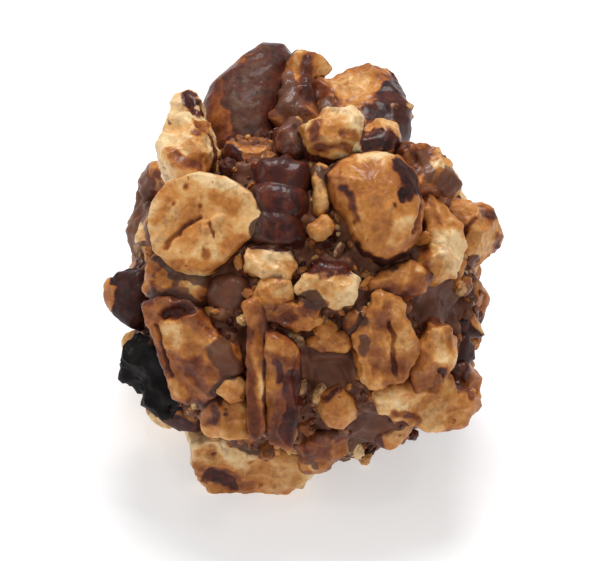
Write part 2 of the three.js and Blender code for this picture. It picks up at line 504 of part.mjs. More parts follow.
// The ball of chocolate with its chopped pecans fused on and a seat for each pecan piece
const core = solid(
  moulded(ballDetail, (d) => {
    const [a, u, t] = inView(d);
    const r = (1 + lumpDepth * lumps(d)) / ballGauge(a, u, t, 0);
    return middle.clone().addScaledVector(d, r);
  }),
);
const fine = ({ size }) => (Math.max(...size) > coarseBelow ? chopDetail : chipDetail);
const chopSolids = chops.map((chop) => pieceSolid(chop, fine(chop), 0));
const studded = wasm.Manifold.union([core, ...chopSolids]);
const ball = largest(aboveTable(studded.subtract(wasm.Manifold.union(seats))));

// A solid as a named mesh.
function mesh(name, manifold, color, roughness) {
  const { numProp, vertProperties, triVerts } = largest(manifold.simplify(sliver)).getMesh();
  const count = vertProperties.length / numProp;
  const corners = new Float32Array(count * 3);
  for (let k = 0; k < count; k += 1) corners.set(vertProperties.subarray(k * numProp, k * numProp + 3), k * 3);
  const geometry = new THREE.BufferGeometry();
  geometry.setAttribute('position', new THREE.BufferAttribute(corners, 3));
  geometry.setIndex(new THREE.BufferAttribute(triVerts, 1));
  const made = new THREE.Mesh(geometry, new THREE.MeshStandardMaterial({ color, roughness, metalness: 0 }));
  made.name = name;
  return made;
}

const praline = new THREE.Group();
praline.add(mesh('praline_ball', ball, chocolateColor, 0.55));
whole.forEach((piece, k) => praline.add(mesh(piece.name, pieceSolids[k], pecanColor, 0.45)));

export default praline;
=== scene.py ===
import bpy
import numpy as np
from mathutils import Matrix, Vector


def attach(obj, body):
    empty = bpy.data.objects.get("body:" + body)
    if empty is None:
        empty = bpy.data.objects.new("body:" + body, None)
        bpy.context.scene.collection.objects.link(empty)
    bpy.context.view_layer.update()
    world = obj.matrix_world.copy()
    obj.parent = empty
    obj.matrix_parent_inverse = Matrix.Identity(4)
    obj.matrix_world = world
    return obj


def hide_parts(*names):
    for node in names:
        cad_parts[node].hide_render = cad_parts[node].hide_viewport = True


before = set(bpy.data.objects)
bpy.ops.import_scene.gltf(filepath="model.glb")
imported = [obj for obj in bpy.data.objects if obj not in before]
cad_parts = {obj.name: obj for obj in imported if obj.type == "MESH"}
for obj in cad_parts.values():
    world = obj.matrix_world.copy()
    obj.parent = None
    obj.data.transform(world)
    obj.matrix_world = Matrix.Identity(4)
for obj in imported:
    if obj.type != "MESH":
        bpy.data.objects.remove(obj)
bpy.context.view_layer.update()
mm = 0.001  # every size below is in millimetres, and the meshes are in metres

# the ball of praline, with the same sizes as the solid it stands for
ball = {
    "across": 14.6,  # half sizes from its middle, seen from above the front
    "up": 15.4,
    "down": 13.6,
    "toward": 14.4,
    "squareness": 2.5,  # 2 is an ellipsoid, more is squarer
    "elevation": 38,  # degrees that "up" and "toward" are tilted by
    "height": 14.6,  # of its middle over the table
    "lumpDepth": 0.022,
    "grid": 122,  # quads along each side of its six grids
}

# how each kind of piece is cut from the round kernel
kinds = {
    "chunk": {"round": (1.12, 1.12, 1.12), "boxy": 3.6, "cuts": 14, "depth": (0.7, 0.9),
        "crisp": 30, "flat": False, "lumps": 0.06},
    "nub": {"round": (1.03, 1.03, 1.03), "boxy": 2.5, "cuts": 8, "depth": (0.8, 0.96),
        "crisp": 14, "flat": False, "lumps": 0.1},
    "slab": {"round": (1.06, 1.08, 1.8), "boxy": 4.2, "cuts": 9, "depth": (0.74, 0.94),
        "crisp": 32, "flat": True, "lumps": 0.06},
    "disc": {"round": (1, 1, 4), "boxy": 2, "cuts": 0, "depth": (0.9, 1),
        "crisp": 36, "flat": True, "lumps": 0.03},
    "smooth": {"round": (1, 1, 1), "boxy": 2.4, "cuts": 6, "depth": (0.82, 0.95),
        "crisp": 12, "flat": False, "lumps": 0.05},
    "kernel": {"round": (1, 1, 1.04), "boxy": 2, "cuts": 3, "depth": (0.84, 0.94),
        "crisp": 10, "flat": False, "lumps": 0.05},
    "ridged": {"round": (1, 1, 1), "boxy": 2.3, "cuts": 2, "depth": (0.88, 0.95),
        "crisp": 8, "flat": False, "lumps": 0.02},
}
kernelForm = {"ridgePitch": 0.62, "ridgeDepth": 0.2, "furrowDepth": 0.16, "furrowWidth": 0.26,
              "skinCone": 0.35, "topCuts": 0.45, "spread": 1.05, "topShare": 0.6}

# what a front piece has where its own entry says nothing else
usual = {"kind": "chunk", "face": 0.4, "coat": 0.05, "marks": []}

# The pecan pieces that show from the front. outline is across and up from the ball's middle, as seen from
# the front, and thick is through it. stand is how far its middle lies over the chocolate, turn in degrees
# is the way its length runs, and face 0 is straight out and 1 to the viewer. near, if given, is how far
# toward the viewer it lies from the ball's middle. tone runs from 0, cream, to 1, toasted, and coat is how
# much chocolate is smeared on. skin is the side with brown skin, which reaches round to bare: -1 is all
# over and 1 is none. dark chars the skin and rough scales the broken relief. marks are drawn from (across,
# up) to (across, up) with a radius.
frontPieces = [
    {"name": "kernel_top", "kind": "smooth", "seed": 3, "stand": 2.6, "thick": 8.4, "turn": 75, "face": 0.6,
     "outline": [(-9.9, 18.6), (-9.2, 20.4), (-8, 21.9), (-6, 23.6), (-4, 24.8), (-2.3, 24.5), (-1.2, 23.2),
     (-1.8, 21), (-2.3, 18.5), (-3, 16), (-4, 13.8), (-6.2, 12.3), (-8.3, 13.2), (-9.3, 15.6)], "tone": 0.5,
     "coat": 0.1, "skin": (0, 0, 1), "bare": -1, "rough": 0.35,
     "marks": [("flesh", -9.4, 20, -9.2, 14.2, 1.9), ("flesh", -8.6, 21.6, -4.8, 24.6, 0.9),
     # the mark over its upper part is a grey-brown dusty patch, paler there as painted sheen
     ("toast", -9, 20.6, -8.8, 14.4, 1.8), ("dustAndSheen", -4.6, 22, -6, 17.4, 2.2),
     ("toast", -8.4, 21.6, -4.8, 24.5, 0.7), ("skin", -5.4, 14.4, -7.4, 14.6, 1.4)]},
    {"name": "chunk_top_right", "seed": 14, "stand": 2.0, "thick": 8.6, "turn": 4, "face": 0.55,
     "outline": [(1, 20.2), (1.5, 21.1), (3.2, 21.6), (6, 22.4), (8, 22.1), (9.2, 20.9), (9.9, 18.6),
     (9.9, 16.4), (9, 14.6), (6, 14), (3, 15), (1.6, 17.6)], "tone": 0.26, "dark": 0.3,
     "marks": [("skin", 8.7, 20.4, 7.2, 17.4, 1.5), ("skin", 9.5, 17.4, 9, 14.8, 1.2),
     ("toast", 1.2, 20.4, 2.4, 18, 0.8), ("blush", 5, 16, 7, 18, 1.0), ("toast", 8.8, 21.4, 9.6, 20, 0.4),
     ("coat", 2, 18, 1.4, 17, 0.6)]},
    {"name": "chunk_top_front", "seed": 5, "stand": 1.9, "thick": 5.4, "turn": 12, "outline": [(-0.4, 16.3),
     (0.6, 17.1), (2.2, 17.7), (4.6, 18.1), (5.6, 17.2), (5, 15.8), (4.2, 14.6), (2.6, 13.8), (1, 14.1),
     (0.2, 15)], "tone": 0.12, "marks": [("toast", 1.1, 15.9, 1, 15.1, 0.4),
     ("toast", 3.3, 15.5, 4, 15.3, 0.38), ("toast", 1.4, 14.3, 3.6, 14.3, 0.4)], "arms": [{"stand": 2.4,
     "thick": 3.8, "turn": 18, "dark": 0.1, "outline": [(4.3, 14.2), (4.9, 15.6), (6, 16.6), (7.2, 16.9),
     (8.5, 16.3), (8.9, 15.2), (8.2, 14), (6.2, 13.6)], "marks": [("skin", 5.7, 14.7, 8, 14.6, 0.9),
     ("skin", 6.8, 15.5, 7, 15.5, 0.7)]}]},
    {"name": "golden_lobe", "kind": "smooth", "seed": 8, "stand": 1.3, "thick": 7.4, "turn": 112,
     "outline": [(2.4, 11.8), (3.4, 13), (5, 13.6), (7, 13.8), (8.8, 13.3), (10.3, 11.9), (11, 9.5),
     (10.9, 6.8), (9.6, 4.7), (7.6, 3.9), (5.8, 5), (4.4, 7.6), (3, 9.8)], "tone": 0.46, "coat": 0.06,
     "dark": 0.6, "marks": [("skin", 8.9, 12.6, 10.2, 10.2, 1.0), ("skin", 9, 10, 9, 9.2, 0.4),
     # the cream mark along its top, from (5, 13) to (8, 13.3), is a painted highlight
     ("creamAndHighlight", 8.8, 5.4, 9.6, 7, 0.9), ("creamAndHighlight", 5, 13, 8, 13.3, 0.4), ("toast", 8.2, 8.6, 8.2, 8.5, 0.25),
     ("toast", 3.4, 10.4, 5, 7.4, 0.35), ("slit", 10.8, 8.8, 10.2, 6, 0.16)]},
    {"name": "round_slice", "kind": "disc", "seed": 6, "stand": 2.0, "thick": 2.8, "turn": 20, "face": 0.6,
     "outline": [(-14.6, 6.8), (-14.2, 9), (-12.8, 10.8), (-10.2, 11.7), (-7.6, 11.2), (-5.2, 9.5),
     (-4.3, 8), (-4.7, 6.2), (-6.3, 4.9), (-7.6, 3.6), (-9.6, 2.5), (-12, 2.9), (-14, 4.6)], "tone": 0.16,
     "coat": 0.0, "sideTone": -0.12, "marks": [("slit", -13.2, 4.9, -9.8, 7.6, 0.2),
     ("slit", -8.8, 7.1, -8.6, 5.9, 0.12), ("bump", -9.4, 6.6, -8, 7.4, 0.45),
     ("toast", -9.4, 4.5, -9.4, 4.2, 0.34), ("toast", -12.2, 8.9, -12.2, 8.8, 0.22),
     ("toast", -11.1, 10.4, -11.1, 10.2, 0.2), ("toast", -9.8, 8.7, -9.7, 8.7, 0.18),
     ("blush", -12.8, 10, -13.6, 7.6, 0.9), ("blush", -8.2, 9.6, -6.6, 8.6, 0.7),
     # the cream mark along its top rim is a painted highlight
     ("creamAndHighlight", -10.4, 11.3, -6.4, 10.6, 0.4), ("blush", -6.2, 5.4, -7.8, 4.2, 0.6),
     ("blush", -12.4, 3.2, -8.2, 3, 0.6)]},
    {"name": "ridged_kernel", "kind": "ridged", "seed": 7, "stand": 0.9, "thick": 5.4, "turn": 84,
     "face": 0.3, "outline": [(-4.7, 11.8), (-4.2, 13.2), (-1.8, 13.9), (0, 13), (0.2, 11), (-0.3, 8.5),
     (-0.5, 6), (-1.2, 4.5), (-4, 4.8), (-4.9, 6.2), (-4.8, 8.5), (-4.9, 10)], "tone": 0.3,
     "skin": (0, 0, 1), "bare": -1, "dark": 0.1, "marks": [("flesh", -4.6, 5.1, -1.2, 4.7, 0.2)]},
    {"name": "right_knob", "kind": "nub", "seed": 9, "stand": 1.4, "thick": 5.6, "turn": 60, "face": 0.5,
     "outline": [(13.9, 7.6), (14.6, 9), (15.8, 9.5), (17.4, 8.7), (18.7, 7.2), (18.7, 5), (17.2, 3.9),
     (15.3, 3.9), (14.2, 5.3)], "tone": 0.22, "marks": [("slit", 14.7, 6.2, 16, 7.4, 0.2),
     ("toast", 16.6, 8.2, 17.6, 7.6, 0.4), ("toast", 18.5, 6.2, 18.3, 4.8, 0.4)]},
    {"name": "left_chunk", "seed": 12, "stand": 2.4, "thick": 5.6, "turn": 84, "face": 0.55,
     "outline": [(-14.1, 14.2), (-13.4, 16), (-12.3, 17.2), (-10.6, 16.7), (-9.6, 15.6), (-9.3, 13.6),
     (-9.8, 11.8), (-11.8, 11.2), (-13.5, 12)], "tone": 0.06,
     "marks": [("toast", -12.4, 13.2, -11, 12.6, 0.7), ("creamAndHighlight", -11.3, 13.7, -11.1, 13.6, 0.3),
     ("toast", -10.4, 16.6, -10, 15.6, 0.4), ("blush", -10, 14.6, -9.8, 12.4, 0.7)], "arms": [{"near": 5.5,
     "thick": 4.2, "outline": [(-12.7, 17.4), (-12.2, 19), (-11.2, 19.5), (-10.4, 18.6), (-10.1, 17),
     (-10.3, 15), (-12.6, 15)], "marks": [("skin", -11.2, 19.2, -10.5, 17.4, 0.6)]}]},
    {"name": "left_lower_chunk", "seed": 17, "stand": 1.4, "thick": 5.6, "turn": -49, "face": 0.45,
     "outline": [(-15.4, -1), (-13.8, -0.3), (-11, -0.6), (-9.4, -2.2), (-8.4, -3.6), (-7, -4.8),
     (-6.2, -6.8), (-8, -8.2), (-10, -9.8), (-12.4, -9), (-13, -7), (-14, -4.6)], "tone": 0.52, "coat": 0.2,
     "rough": 0.8, "marks": [("creamAndHighlight", -12.6, -2.8, -10.4, -4.4, 1.1), ("coat", -8.2, -4.4, -7, -6.8, 0.8),
     # the hollow mark is a dent, browner in it as painted shade
     ("blush", -11, -6, -9, -8, 1.2), ("hollow", -13, -1.4, -10.8, -1.2, 0.45),
     ("slit", -13.8, -2.4, -12.6, -7, 0.16), ("creamAndHighlight", -12.6, -7.6, -11.2, -9, 0.4)]},
    {"name": "edge_slab", "kind": "slab", "seed": 19, "stand": 1.3, "thick": 5.0, "turn": 93, "face": 0.35,
     "outline": [(-5.4, -0.8), (-4.6, -0.4), (-3.9, -1.8), (-3.7, -4), (-3.8, -8), (-3.9, -12), (-4.6, -13),
     (-5.3, -12), (-5.4, -8), (-5.3, -4)], "tone": 0.56, "coat": 0.06, "rough": 0.4,
     "marks": [("blush", -5.2, -3, -5, -12.5, 0.6), ("skin", -3.8, -7, -3.8, -12, 0.35),
     ("creamAndHighlight", -4.5, -1.6, -4.4, -9, 0.45)]},
    {"name": "skin_slab", "kind": "slab", "seed": 20, "stand": 1.2, "thick": 4.8, "turn": 97, "face": 0.3,
     "outline": [(-3.6, -3.5), (-2.6, -3.8), (-0.8, -5.3), (-0.6, -8), (-0.9, -11), (-1.5, -13.6),
     (-3.2, -13.4), (-3.6, -10), (-3.7, -6.5)], "tone": 0.54, "coat": 0.08, "rough": 0.5,
     "marks": [("skin", -1.1, -7.4, -1.3, -13, 1.1), ("blush", -1.8, -6, -2.2, -13, 1.2),
     ("skin", -2.9, -5.6, -2.4, -7.6, 0.35), ("creamAndHighlight", -3.2, -3.9, -1.4, -5, 0.45)]},
    {"name": "furrowed_slab", "kind": "slab", "seed": 25, "stand": 0.9, "thick": 4.4, "turn": 101,
     "face": 0.3, "outline": [(6.7, -0.2), (8.7, -0.4), (9.4, -2), (10.1, -4.6), (9.2, -7), (7.9, -7.5),
     (6.5, -8.3), (5.4, -7.4), (5.2, -5.2), (4.8, -3.6), (6, -2)], "tone": 0.6, "coat": 0.1,
     "marks": [("slit", 8, -2.4, 8.6, -7, 0.2), ("blush", 7.2, -1.4, 6.4, -6.6, 0.9),
     ("coat", 5.4, -3.4, 5.6, -5, 0.5)]},
    {"name": "forked_piece", "kind": "slab", "seed": 27, "stand": 1.2, "thick": 4.4, "turn": -6,
     "face": 0.45, "outline": [(7.2, -9.2), (9, -8.2), (11, -7.2), (13.2, -7.6), (15.2, -9.2), (15.9, -10),
     (14, -11.7), (11, -11.6), (8.5, -11.2), (7.2, -10.4)], "tone": 0.34, "coat": 0.04,
     "marks": [("slit", 12.7, -6.7, 15.1, -9.4, 0.26), ("blush", 11.4, -7, 12.2, -8.6, 0.5),
     ("toast", 8.4, -10.9, 10.4, -11.3, 0.35)], "arms": [{"stand": 1.4, "thick": 4.2, "turn": 70,
     "tone": 0.46, "outline": [(11.8, -2.7), (13.2, -2.6), (14.2, -4), (13.6, -6), (12.4, -7.8),
     (10.6, -8.4), (9.8, -7), (10.9, -5)], "marks": [("creamAndHighlight", 12.6, -3.4, 12.6, -5.4, 0.6),
     ("slit", 12.6, -6.6, 13, -7.2, 0.26)]}, {"stand": 1.2, "thick": 3.8, "turn": -50,
     "outline": [(13.3, -6.4), (15.4, -6.5), (16.1, -7.2), (15.7, -9.4), (14.8, -9.8), (13.4, -8.2)],
     "marks": [("toast", 13.8, -6.6, 14.8, -7, 0.6), ("slit", 12.7, -6.7, 15.1, -9.4, 0.2)]}]},
    {"name": "bottom_slab", "kind": "slab", "seed": 29, "stand": 1.4, "thick": 5.6, "turn": -5, "face": 0.55,
     "outline": [(-10.5, -13.4), (-8, -13.1), (-4, -13.6), (-1, -14.3), (0.7, -15.6), (-0.2, -17),
     (-1.4, -18), (-5, -18.6), (-8.2, -18.4), (-9.4, -16.8), (-10.4, -15)], "tone": 0.08, "coat": 0.03,
     "sideTone": 0.05, "marks": [("skin", -8.8, -16.4, -7.2, -17.8, 0.75),
     ("blush", -9.2, -15.6, -6.4, -17.6, 1.3), ("blush", -10, -14, -9.6, -16, 0.6),
     ("toast", -5.3, -15.5, -5.2, -15.5, 0.25), ("toast", -8.6, -15.1, -8.5, -15.1, 0.15),
     ("toast", -4.5, -17.9, -4.4, -17.8, 0.22)]},
    {"name": "small_fork", "kind": "slab", "seed": 21, "stand": 1.0, "thick": 3.2, "turn": -14,
     "outline": [(-4.9, -0.2), (-3.5, -0.1), (-1, -0.8), (1, -0.8), (1.1, -2), (0.2, -2.7), (-2, -2.5),
     (-4.5, -1.6)], "tone": 0.42, "coat": 0.08, "marks": [("blush", -2, -2.2, -1, -1.8, 0.4),
     ("toast", -4.6, -0.8, -4.4, -1.2, 0.3)], "arms": [{"stand": 1.0, "thick": 3, "turn": 80,
     "outline": [(-3.9, 1.6), (-2.4, 1.9), (-1.7, 0.6), (-2.1, -1), (-4, -1)],
     "marks": [("blush", -3.6, 0.4, -3.2, -0.6, 0.5)]}, {"stand": 1.1, "thick": 2.8, "turn": 10,
     "outline": [(-0.3, 0), (0.8, 0.2), (1.5, -0.6), (0.9, -1.8), (-0.4, -1.6)], "marks": []}]},
    {"name": "pale_chunk", "seed": 22, "stand": 0.8, "thick": 4.6, "turn": 12, "outline": [(-0.7, 0.9),
     (0.3, 2.1), (1.4, 3.2), (3.6, 3.2), (4.6, 1.8), (4.4, 0.3), (3, -0.8), (0.6, -0.6)], "tone": 0.14,
     "marks": [("skin", 0.2, 2.8, 3.9, 3.1, 0.75), ("toast", 0.4, -0.4, 2, -0.7, 0.25)]},
]

# the finer chopped pecans that show from the front
frontChops = [
    {"seed": 32, "stand": 0.9, "thick": 3.6, "turn": -12, "tone": 0.12, "coat": 0.02, "outline": [(-5.9, 4),
     (-5.2, 4.9), (-3, 4.9), (-1.3, 4.3), (-1, 2.9), (-1.6, 2), (-3.6, 2.1), (-5.5, 2.8)],
     "marks": [("skin", -5.4, 4.9, -1.4, 4.5, 0.25)]},
    {"kind": "smooth", "seed": 33, "stand": 1.2, "thick": 2.2, "turn": 92, "tone": 0.2, "coat": 0.0,
     "outline": [(0.5, 11.9), (1.3, 12.8), (2.4, 12.2), (2.2, 10.8), (2, 8.6), (1.4, 7.9), (0.8, 8.4),
     (0.9, 10.4)]},
    {"seed": 34, "stand": 1.7, "thick": 4.8, "turn": -50, "face": 0.5, "tone": 0.52, "coat": 0.5, "rough": 2,
     "outline": [(8.6, 14), (10.4, 14.9), (12.2, 14.3), (13.6, 12.8), (14.2, 10.8), (13.4, 9.8), (11.6, 9.6),
     (10.2, 10.8), (9.4, 12.4)], "marks": [("coat", 11.2, 13.6, 11.6, 11.2, 0.45),
     ("coat", 13.2, 11.4, 13, 10.4, 0.6), ("creamAndHighlight", 12.4, 12.4, 12.8, 11.8, 0.4),
     ("creamAndHighlight", 9.2, 13.6, 9.8, 13, 0.4)]},
    {"kind": "slab", "seed": 35, "stand": 1.2, "thick": 3.4, "turn": -66, "tone": 0.34,
     "outline": [(11.6, 9.8), (12.8, 9.4), (13.8, 7.4), (14.8, 5), (14.3, 2.9), (13.2, 3.2), (12.2, 5.4),
     (11.4, 7.8)], "marks": [("blush", 11.8, 8.6, 12.2, 6.6, 0.4), ("creamAndHighlight", 13.8, 6, 14.2, 4, 0.35)]},
    {"kind": "nub", "seed": 36, "stand": 1.4, "thick": 3.4, "turn": 30, "tone": 0.34, "coat": 0.02,
     "outline": [(11, 3.9), (12, 5), (13.6, 4.8), (14.5, 3.4), (14.2, 2), (12.8, 1.5), (11.4, 2.3)],
     "marks": [("blush", 11.3, 4.4, 11.4, 2.8, 0.35)]},
    {"seed": 37, "stand": 1.1, "thick": 4.2, "turn": -18, "tone": 0.4, "coat": 0.4, "outline": [(-15.2, 2.6),
     (-14.2, 4.2), (-11.5, 4), (-9.9, 2.6), (-9.8, 0.4), (-10.4, -0.9), (-13, -0.5), (-14.7, 0.4)],
     "marks": [("creamAndHighlight", -10.6, 1.8, -10.4, -0.4, 0.6), ("blush", -13.6, 2, -12.4, 1.4, 0.9)]},
    {"seed": 38, "stand": 1.5, "thick": 5.4, "turn": 80, "face": 0.5, "tone": 0.35, "coat": 0.03,
     "dark": 0.55, "skin": (0, 0, 1), "bare": -1, "outline": [(-18.9, -0.2), (-18.6, 1.6), (-17.8, 2.6),
     (-15.8, 2.4), (-15, 0.6), (-15.4, -1.8), (-16.4, -2.9), (-17.9, -1.6)],
     "marks": [("flesh", -18.7, 1.6, -18.5, -0.8, 0.55)]},
    {"kind": "nub", "seed": 39, "stand": 1.2, "thick": 2.6, "turn": 40, "tone": 0.4,
     "outline": [(-17.3, -4.9), (-16.6, -3.3), (-15.6, -3.2), (-15.2, -4.6), (-16.2, -5.5)]},
    {"kind": "slab", "seed": 40, "stand": 1.2, "thick": 4, "turn": -62, "tone": 1.0, "coat": 0.0, "dark": 1,
     "rough": 1.5, "skin": (0, 0, 1), "bare": -1, "outline": [(-17, -6), (-17, -7.4), (-15.5, -8),
     (-14.8, -10.4), (-13.2, -10.8), (-12.8, -8.6), (-13.5, -5.8), (-14.4, -4.1), (-15.6, -5.2)]},
    {"kind": "smooth", "seed": 41, "stand": 2.2, "thick": 2.8, "turn": 10, "face": 0.5, "tone": 0.02,
     "coat": 0.0, "outline": [(-8.2, -8.7), (-7.4, -7.6), (-6.2, -7.4), (-5.4, -8.3), (-5.8, -9.6),
     (-7, -9.9)]},
    {"kind": "nub", "seed": 42, "stand": 1.6, "thick": 3.8, "turn": 4, "tone": 0.34,
     "outline": [(-9.8, -9.8), (-8, -9.3), (-6, -9.6), (-5.2, -11), (-5.4, -12.8), (-7.5, -13.2),
     (-9, -12.4)], "marks": [("toast", -8.4, -10.8, -8.5, -11.2, 0.5), ("toast", -8, -9.9, -8, -9.8, 0.3),
     ("toast", -7.4, -10.8, -7.4, -11, 0.25)]},
    {"kind": "smooth", "seed": 43, "stand": 1.2, "thick": 3.8, "turn": 62, "tone": 0.26, "coat": 0.02,
     "outline": [(1.4, -10.4), (2, -9), (3.2, -8.6), (4.4, -9.7), (4.8, -11.4), (3.6, -12.5), (2.2, -12.1)],
     "marks": [("toast", 2, -9.2, 2.8, -8.8, 0.3)]},
    {"seed": 44, "stand": 0.8, "thick": 3.4, "turn": -8, "face": 0.3, "tone": 0.74, "coat": 0.06,
     "outline": [(6, 1), (7.2, 2.5), (9, 3.2), (11.9, 2.3), (10.6, 0.4), (8.8, -0.1), (7, 0.2)],
     # its cream mark at the right top is a painted highlight
     "marks": [("creamAndHighlight", 11, 2.2, 10, 2.5, 0.2)]},
    {"seed": 45, "stand": 0.9, "thick": 3.2, "turn": 80, "tone": 0.6, "coat": 0.2, "dark": 0.5,
     "skin": (0, 0, 1), "bare": -0.2, "outline": [(14, -5.9), (14.4, -4.2), (15.4, -3.4), (16.1, -4.4),
     (16.1, -5.8), (15, -6.3)]},
    {"seed": 47, "stand": 1.4, "thick": 3.6, "turn": 40, "tone": 0.5, "coat": 0.5, "outline": [(-16.2, 11.2),
     (-15, 12.4), (-13.8, 12.8), (-13.1, 11.8), (-13.6, 10.2), (-15.4, 9.8)]},
    {"seed": 48, "stand": 1.2, "thick": 4, "turn": 30, "tone": 0.5, "coat": 0.5, "outline": [(-0.6, -14.2),
     (2, -13), (4.4, -13.4), (3.4, -15.2), (1.9, -16.7), (0, -16.7)],
     "marks": [("creamAndHighlight", 0.6, -16.2, 1.6, -16, 0.3)]},
    {"seed": 49, "stand": 2.8, "thick": 5.6, "turn": 85, "face": 0.55, "tone": 0.66, "coat": 0.55,
     "dark": 0.2, "skin": (0.4, 0, 1), "bare": 1, "rough": 2.2, "outline": [(-1.7, 23), (-0.5, 23.5),
     (0.4, 22), (0.7, 20), (0.9, 18), (-0.2, 16.8), (-2.2, 16.8), (-2.5, 19), (-2, 21.5)],
     "marks": [("creamAndHighlight", -0.9, 22.2, -1, 20.6, 0.35), ("coat", -1.6, 20.4, -0.8, 17.4, 0.8),
     ("toast", -0.2, 22.6, 0, 19, 0.4)]},
    {"kind": "nub", "seed": 50, "stand": 1.3, "thick": 3, "turn": 10, "tone": 0.8, "coat": 0.8, "dark": 0.7,
     "outline": [(-2.7, 15.8), (-1.2, 17), (0.1, 16), (0.1, 14.3), (-1.2, 13.7), (-2.4, 14.3)],
     # its cream mark is a painted glint
     "marks": [("creamAndHighlight", -1.9, 15.6, -1.6, 15.4, 0.25)]},
    {"seed": 51, "stand": 1.2, "thick": 2.8, "turn": -12, "face": 0.5, "tone": 0.3, "coat": 0.2, "dark": 0.2,
     "skin": (0, -0.6, 1), "bare": 0.3, "outline": [(-14.3, -11.1), (-12.8, -10.5), (-10.8, -11.3),
     (-10.3, -12.7), (-12, -12.8)]},
    {"seed": 54, "stand": 0.5, "thick": 3, "turn": 85, "tone": 0.5, "coat": 0.8, "rough": 2,
     "outline": [(-16.4, 4.4), (-16.2, 7.5), (-15.8, 10), (-14.5, 10.5), (-13.8, 7), (-14, 4.2),
     (-15.5, 3.6)]},
    {"kind": "nub", "seed": 52, "stand": 0.8, "thick": 1.8, "turn": 30, "tone": 0.3, "coat": 0.35,
     "outline": [(0.5, 6.3), (1.2, 7), (2, 7.3), (2, 6.8), (1.2, 6.1)]},
    {"kind": "smooth", "seed": 57, "stand": 0.2, "thick": 3, "turn": 10, "face": 0.3, "tone": 0.5, "coat": 2,
     "rough": 0.3, "outline": [(-9.4, 0.4), (-8.7, 1.8), (-7, 2.3), (-5.6, 1.5), (-5.4, -0.2), (-6.8, -1.3),
     (-8.7, -0.9)]},
    {"seed": 55, "stand": 0.5, "thick": 2.4, "turn": 10, "tone": 0.5, "coat": 0.45, "outline": [(3.6, -1.6),
     (4.6, -1), (5.7, -1.6), (5.5, -3), (4.1, -3.3)]},
    {"seed": 56, "stand": 0.5, "thick": 2.4, "turn": 0, "tone": 0.35, "coat": 0.4, "outline": [(0.4, -4),
     (1.6, -3.2), (3.5, -3.5), (3.9, -4.6), (1.4, -4.9)]},
]

# where the chocolate shows bare from the front: across, up and radius
barePatches = [(-7.5, 1.2, 2.2), (2.3, -6.5, 2.6), (12.2, -0.4, 2.6), (-14, 8.4, 2.4), (6, -12.2, 2.2)]

# the pieces round the rest of the ball, placed by rule
rules = [
    {"name": "pecan", "seed": 501, "spots": 90, "size": (7.4, 11), "slimness": (0.55, 0.8),
     "lift": (0, 1.4), "spacing": 0.9, "behind": -6, "underside": 0.74},
    {"name": "chop", "seed": 601, "spots": 170, "size": (3.4, 5.8), "slimness": (0.55, 0.85),
     "lift": (-0.5, 0.5), "spacing": 0.84, "behind": 99, "underside": 0.88},
    {"name": "chip", "seed": 701, "spots": 40, "size": (1.9, 2.9), "slimness": (0.7, 0.95),
     "lift": (0, 0.4), "spacing": 0.9, "behind": 99, "underside": 0.93},
]
ruleKinds = ["chunk", "slab", "chunk", "kernel", "slab", "nub", "chunk"]

tilt = np.radians(ball["elevation"])
middle = np.array([0, 0, ball["height"]])
viewAxes = np.array([[1, 0, 0], [0, np.sin(tilt), np.cos(tilt)], [0, -np.cos(tilt), np.sin(tilt)]])


# Repeatable draws by the Park-Miller rule: each call gives the next number between low and high.
def draws(seed):
    state = [(seed * 7919 + 12345) % 2147483647]

    def draw(low=0.0, high=1.0):
        state[0] = state[0] * 16807 % 2147483647
        return low + (high - low) * (state[0] / 2147483647)

    return draw


# count unit vectors spread evenly over a sphere: height steps down evenly while the angle turns by the
# golden angle.
def spread(count):
    step = np.arange(count)
    z = 1 - (2 * step + 1) / count
    ring, angle = np.sqrt(1 - z * z), np.pi * (3 - np.sqrt(5)) * step
    return np.stack([ring * np.cos(angle), ring * np.sin(angle), z], 1)


# The rotation of three random angles about X, Y and Z, applied in the order Z, Y, X.
def randomSpin(draw):
    a, b, c = (draw(0, 6.28) for _ in range(3))
    aboutX = np.array([[1, 0, 0], [0, np.cos(a), -np.sin(a)], [0, np.sin(a), np.cos(a)]])
    aboutY = np.array([[np.cos(b), 0, np.sin(b)], [0, 1, 0], [-np.sin(b), 0, np.cos(b)]])
    aboutZ = np.array([[np.cos(c), -np.sin(c), 0], [np.sin(c), np.cos(c), 0], [0, 0, 1]])
    return aboutX @ aboutY @ aboutZ


def unit(vectors):
    return vectors / np.linalg.norm(vectors, axis=-1, keepdims=True)


# 0 below low, 1 above high, and an S-shaped step 3t^2 - 2t^3 between them.
def step(values, low, high):
    t = np.clip((values - low) / (high - low), 0, 1)
    return t * t * (3 - 2 * t)


# A gentle unevenness from -1 to 1 over all directions: the mean of a few sine waves.
def waves(seed, count, pitch):
    draw = draws(seed)
    ways, phases = [], []
    for _ in range(count):
        way = unit(np.array([draw(-1, 1) for _ in range(3)]))
        ways.append(way * draw(0.7, 1.3) * pitch)
        phases.append(draw(0, 2 * np.pi))
    return lambda d: np.sin(d @ np.array(ways).T + np.array(phases)).mean(-1)


latticeShift = 31.7  # in cells, which keeps the origin off the corners of a lattice


# Random whole numbers for lattice corners: the three coordinates are multiplied by large primes and their
# bits mixed.
def scramble(cell, seed):
    h = (cell[..., 0] * 73856093) ^ (cell[..., 1] * 19349663) ^ (cell[..., 2] * 83492791) ^ (seed * 15485863)
    h = ((h ^ (h >> 13)) * 1274126177) & 0xFFFFFFFF
    return (h ^ (h >> 16)) & 0xFFFF


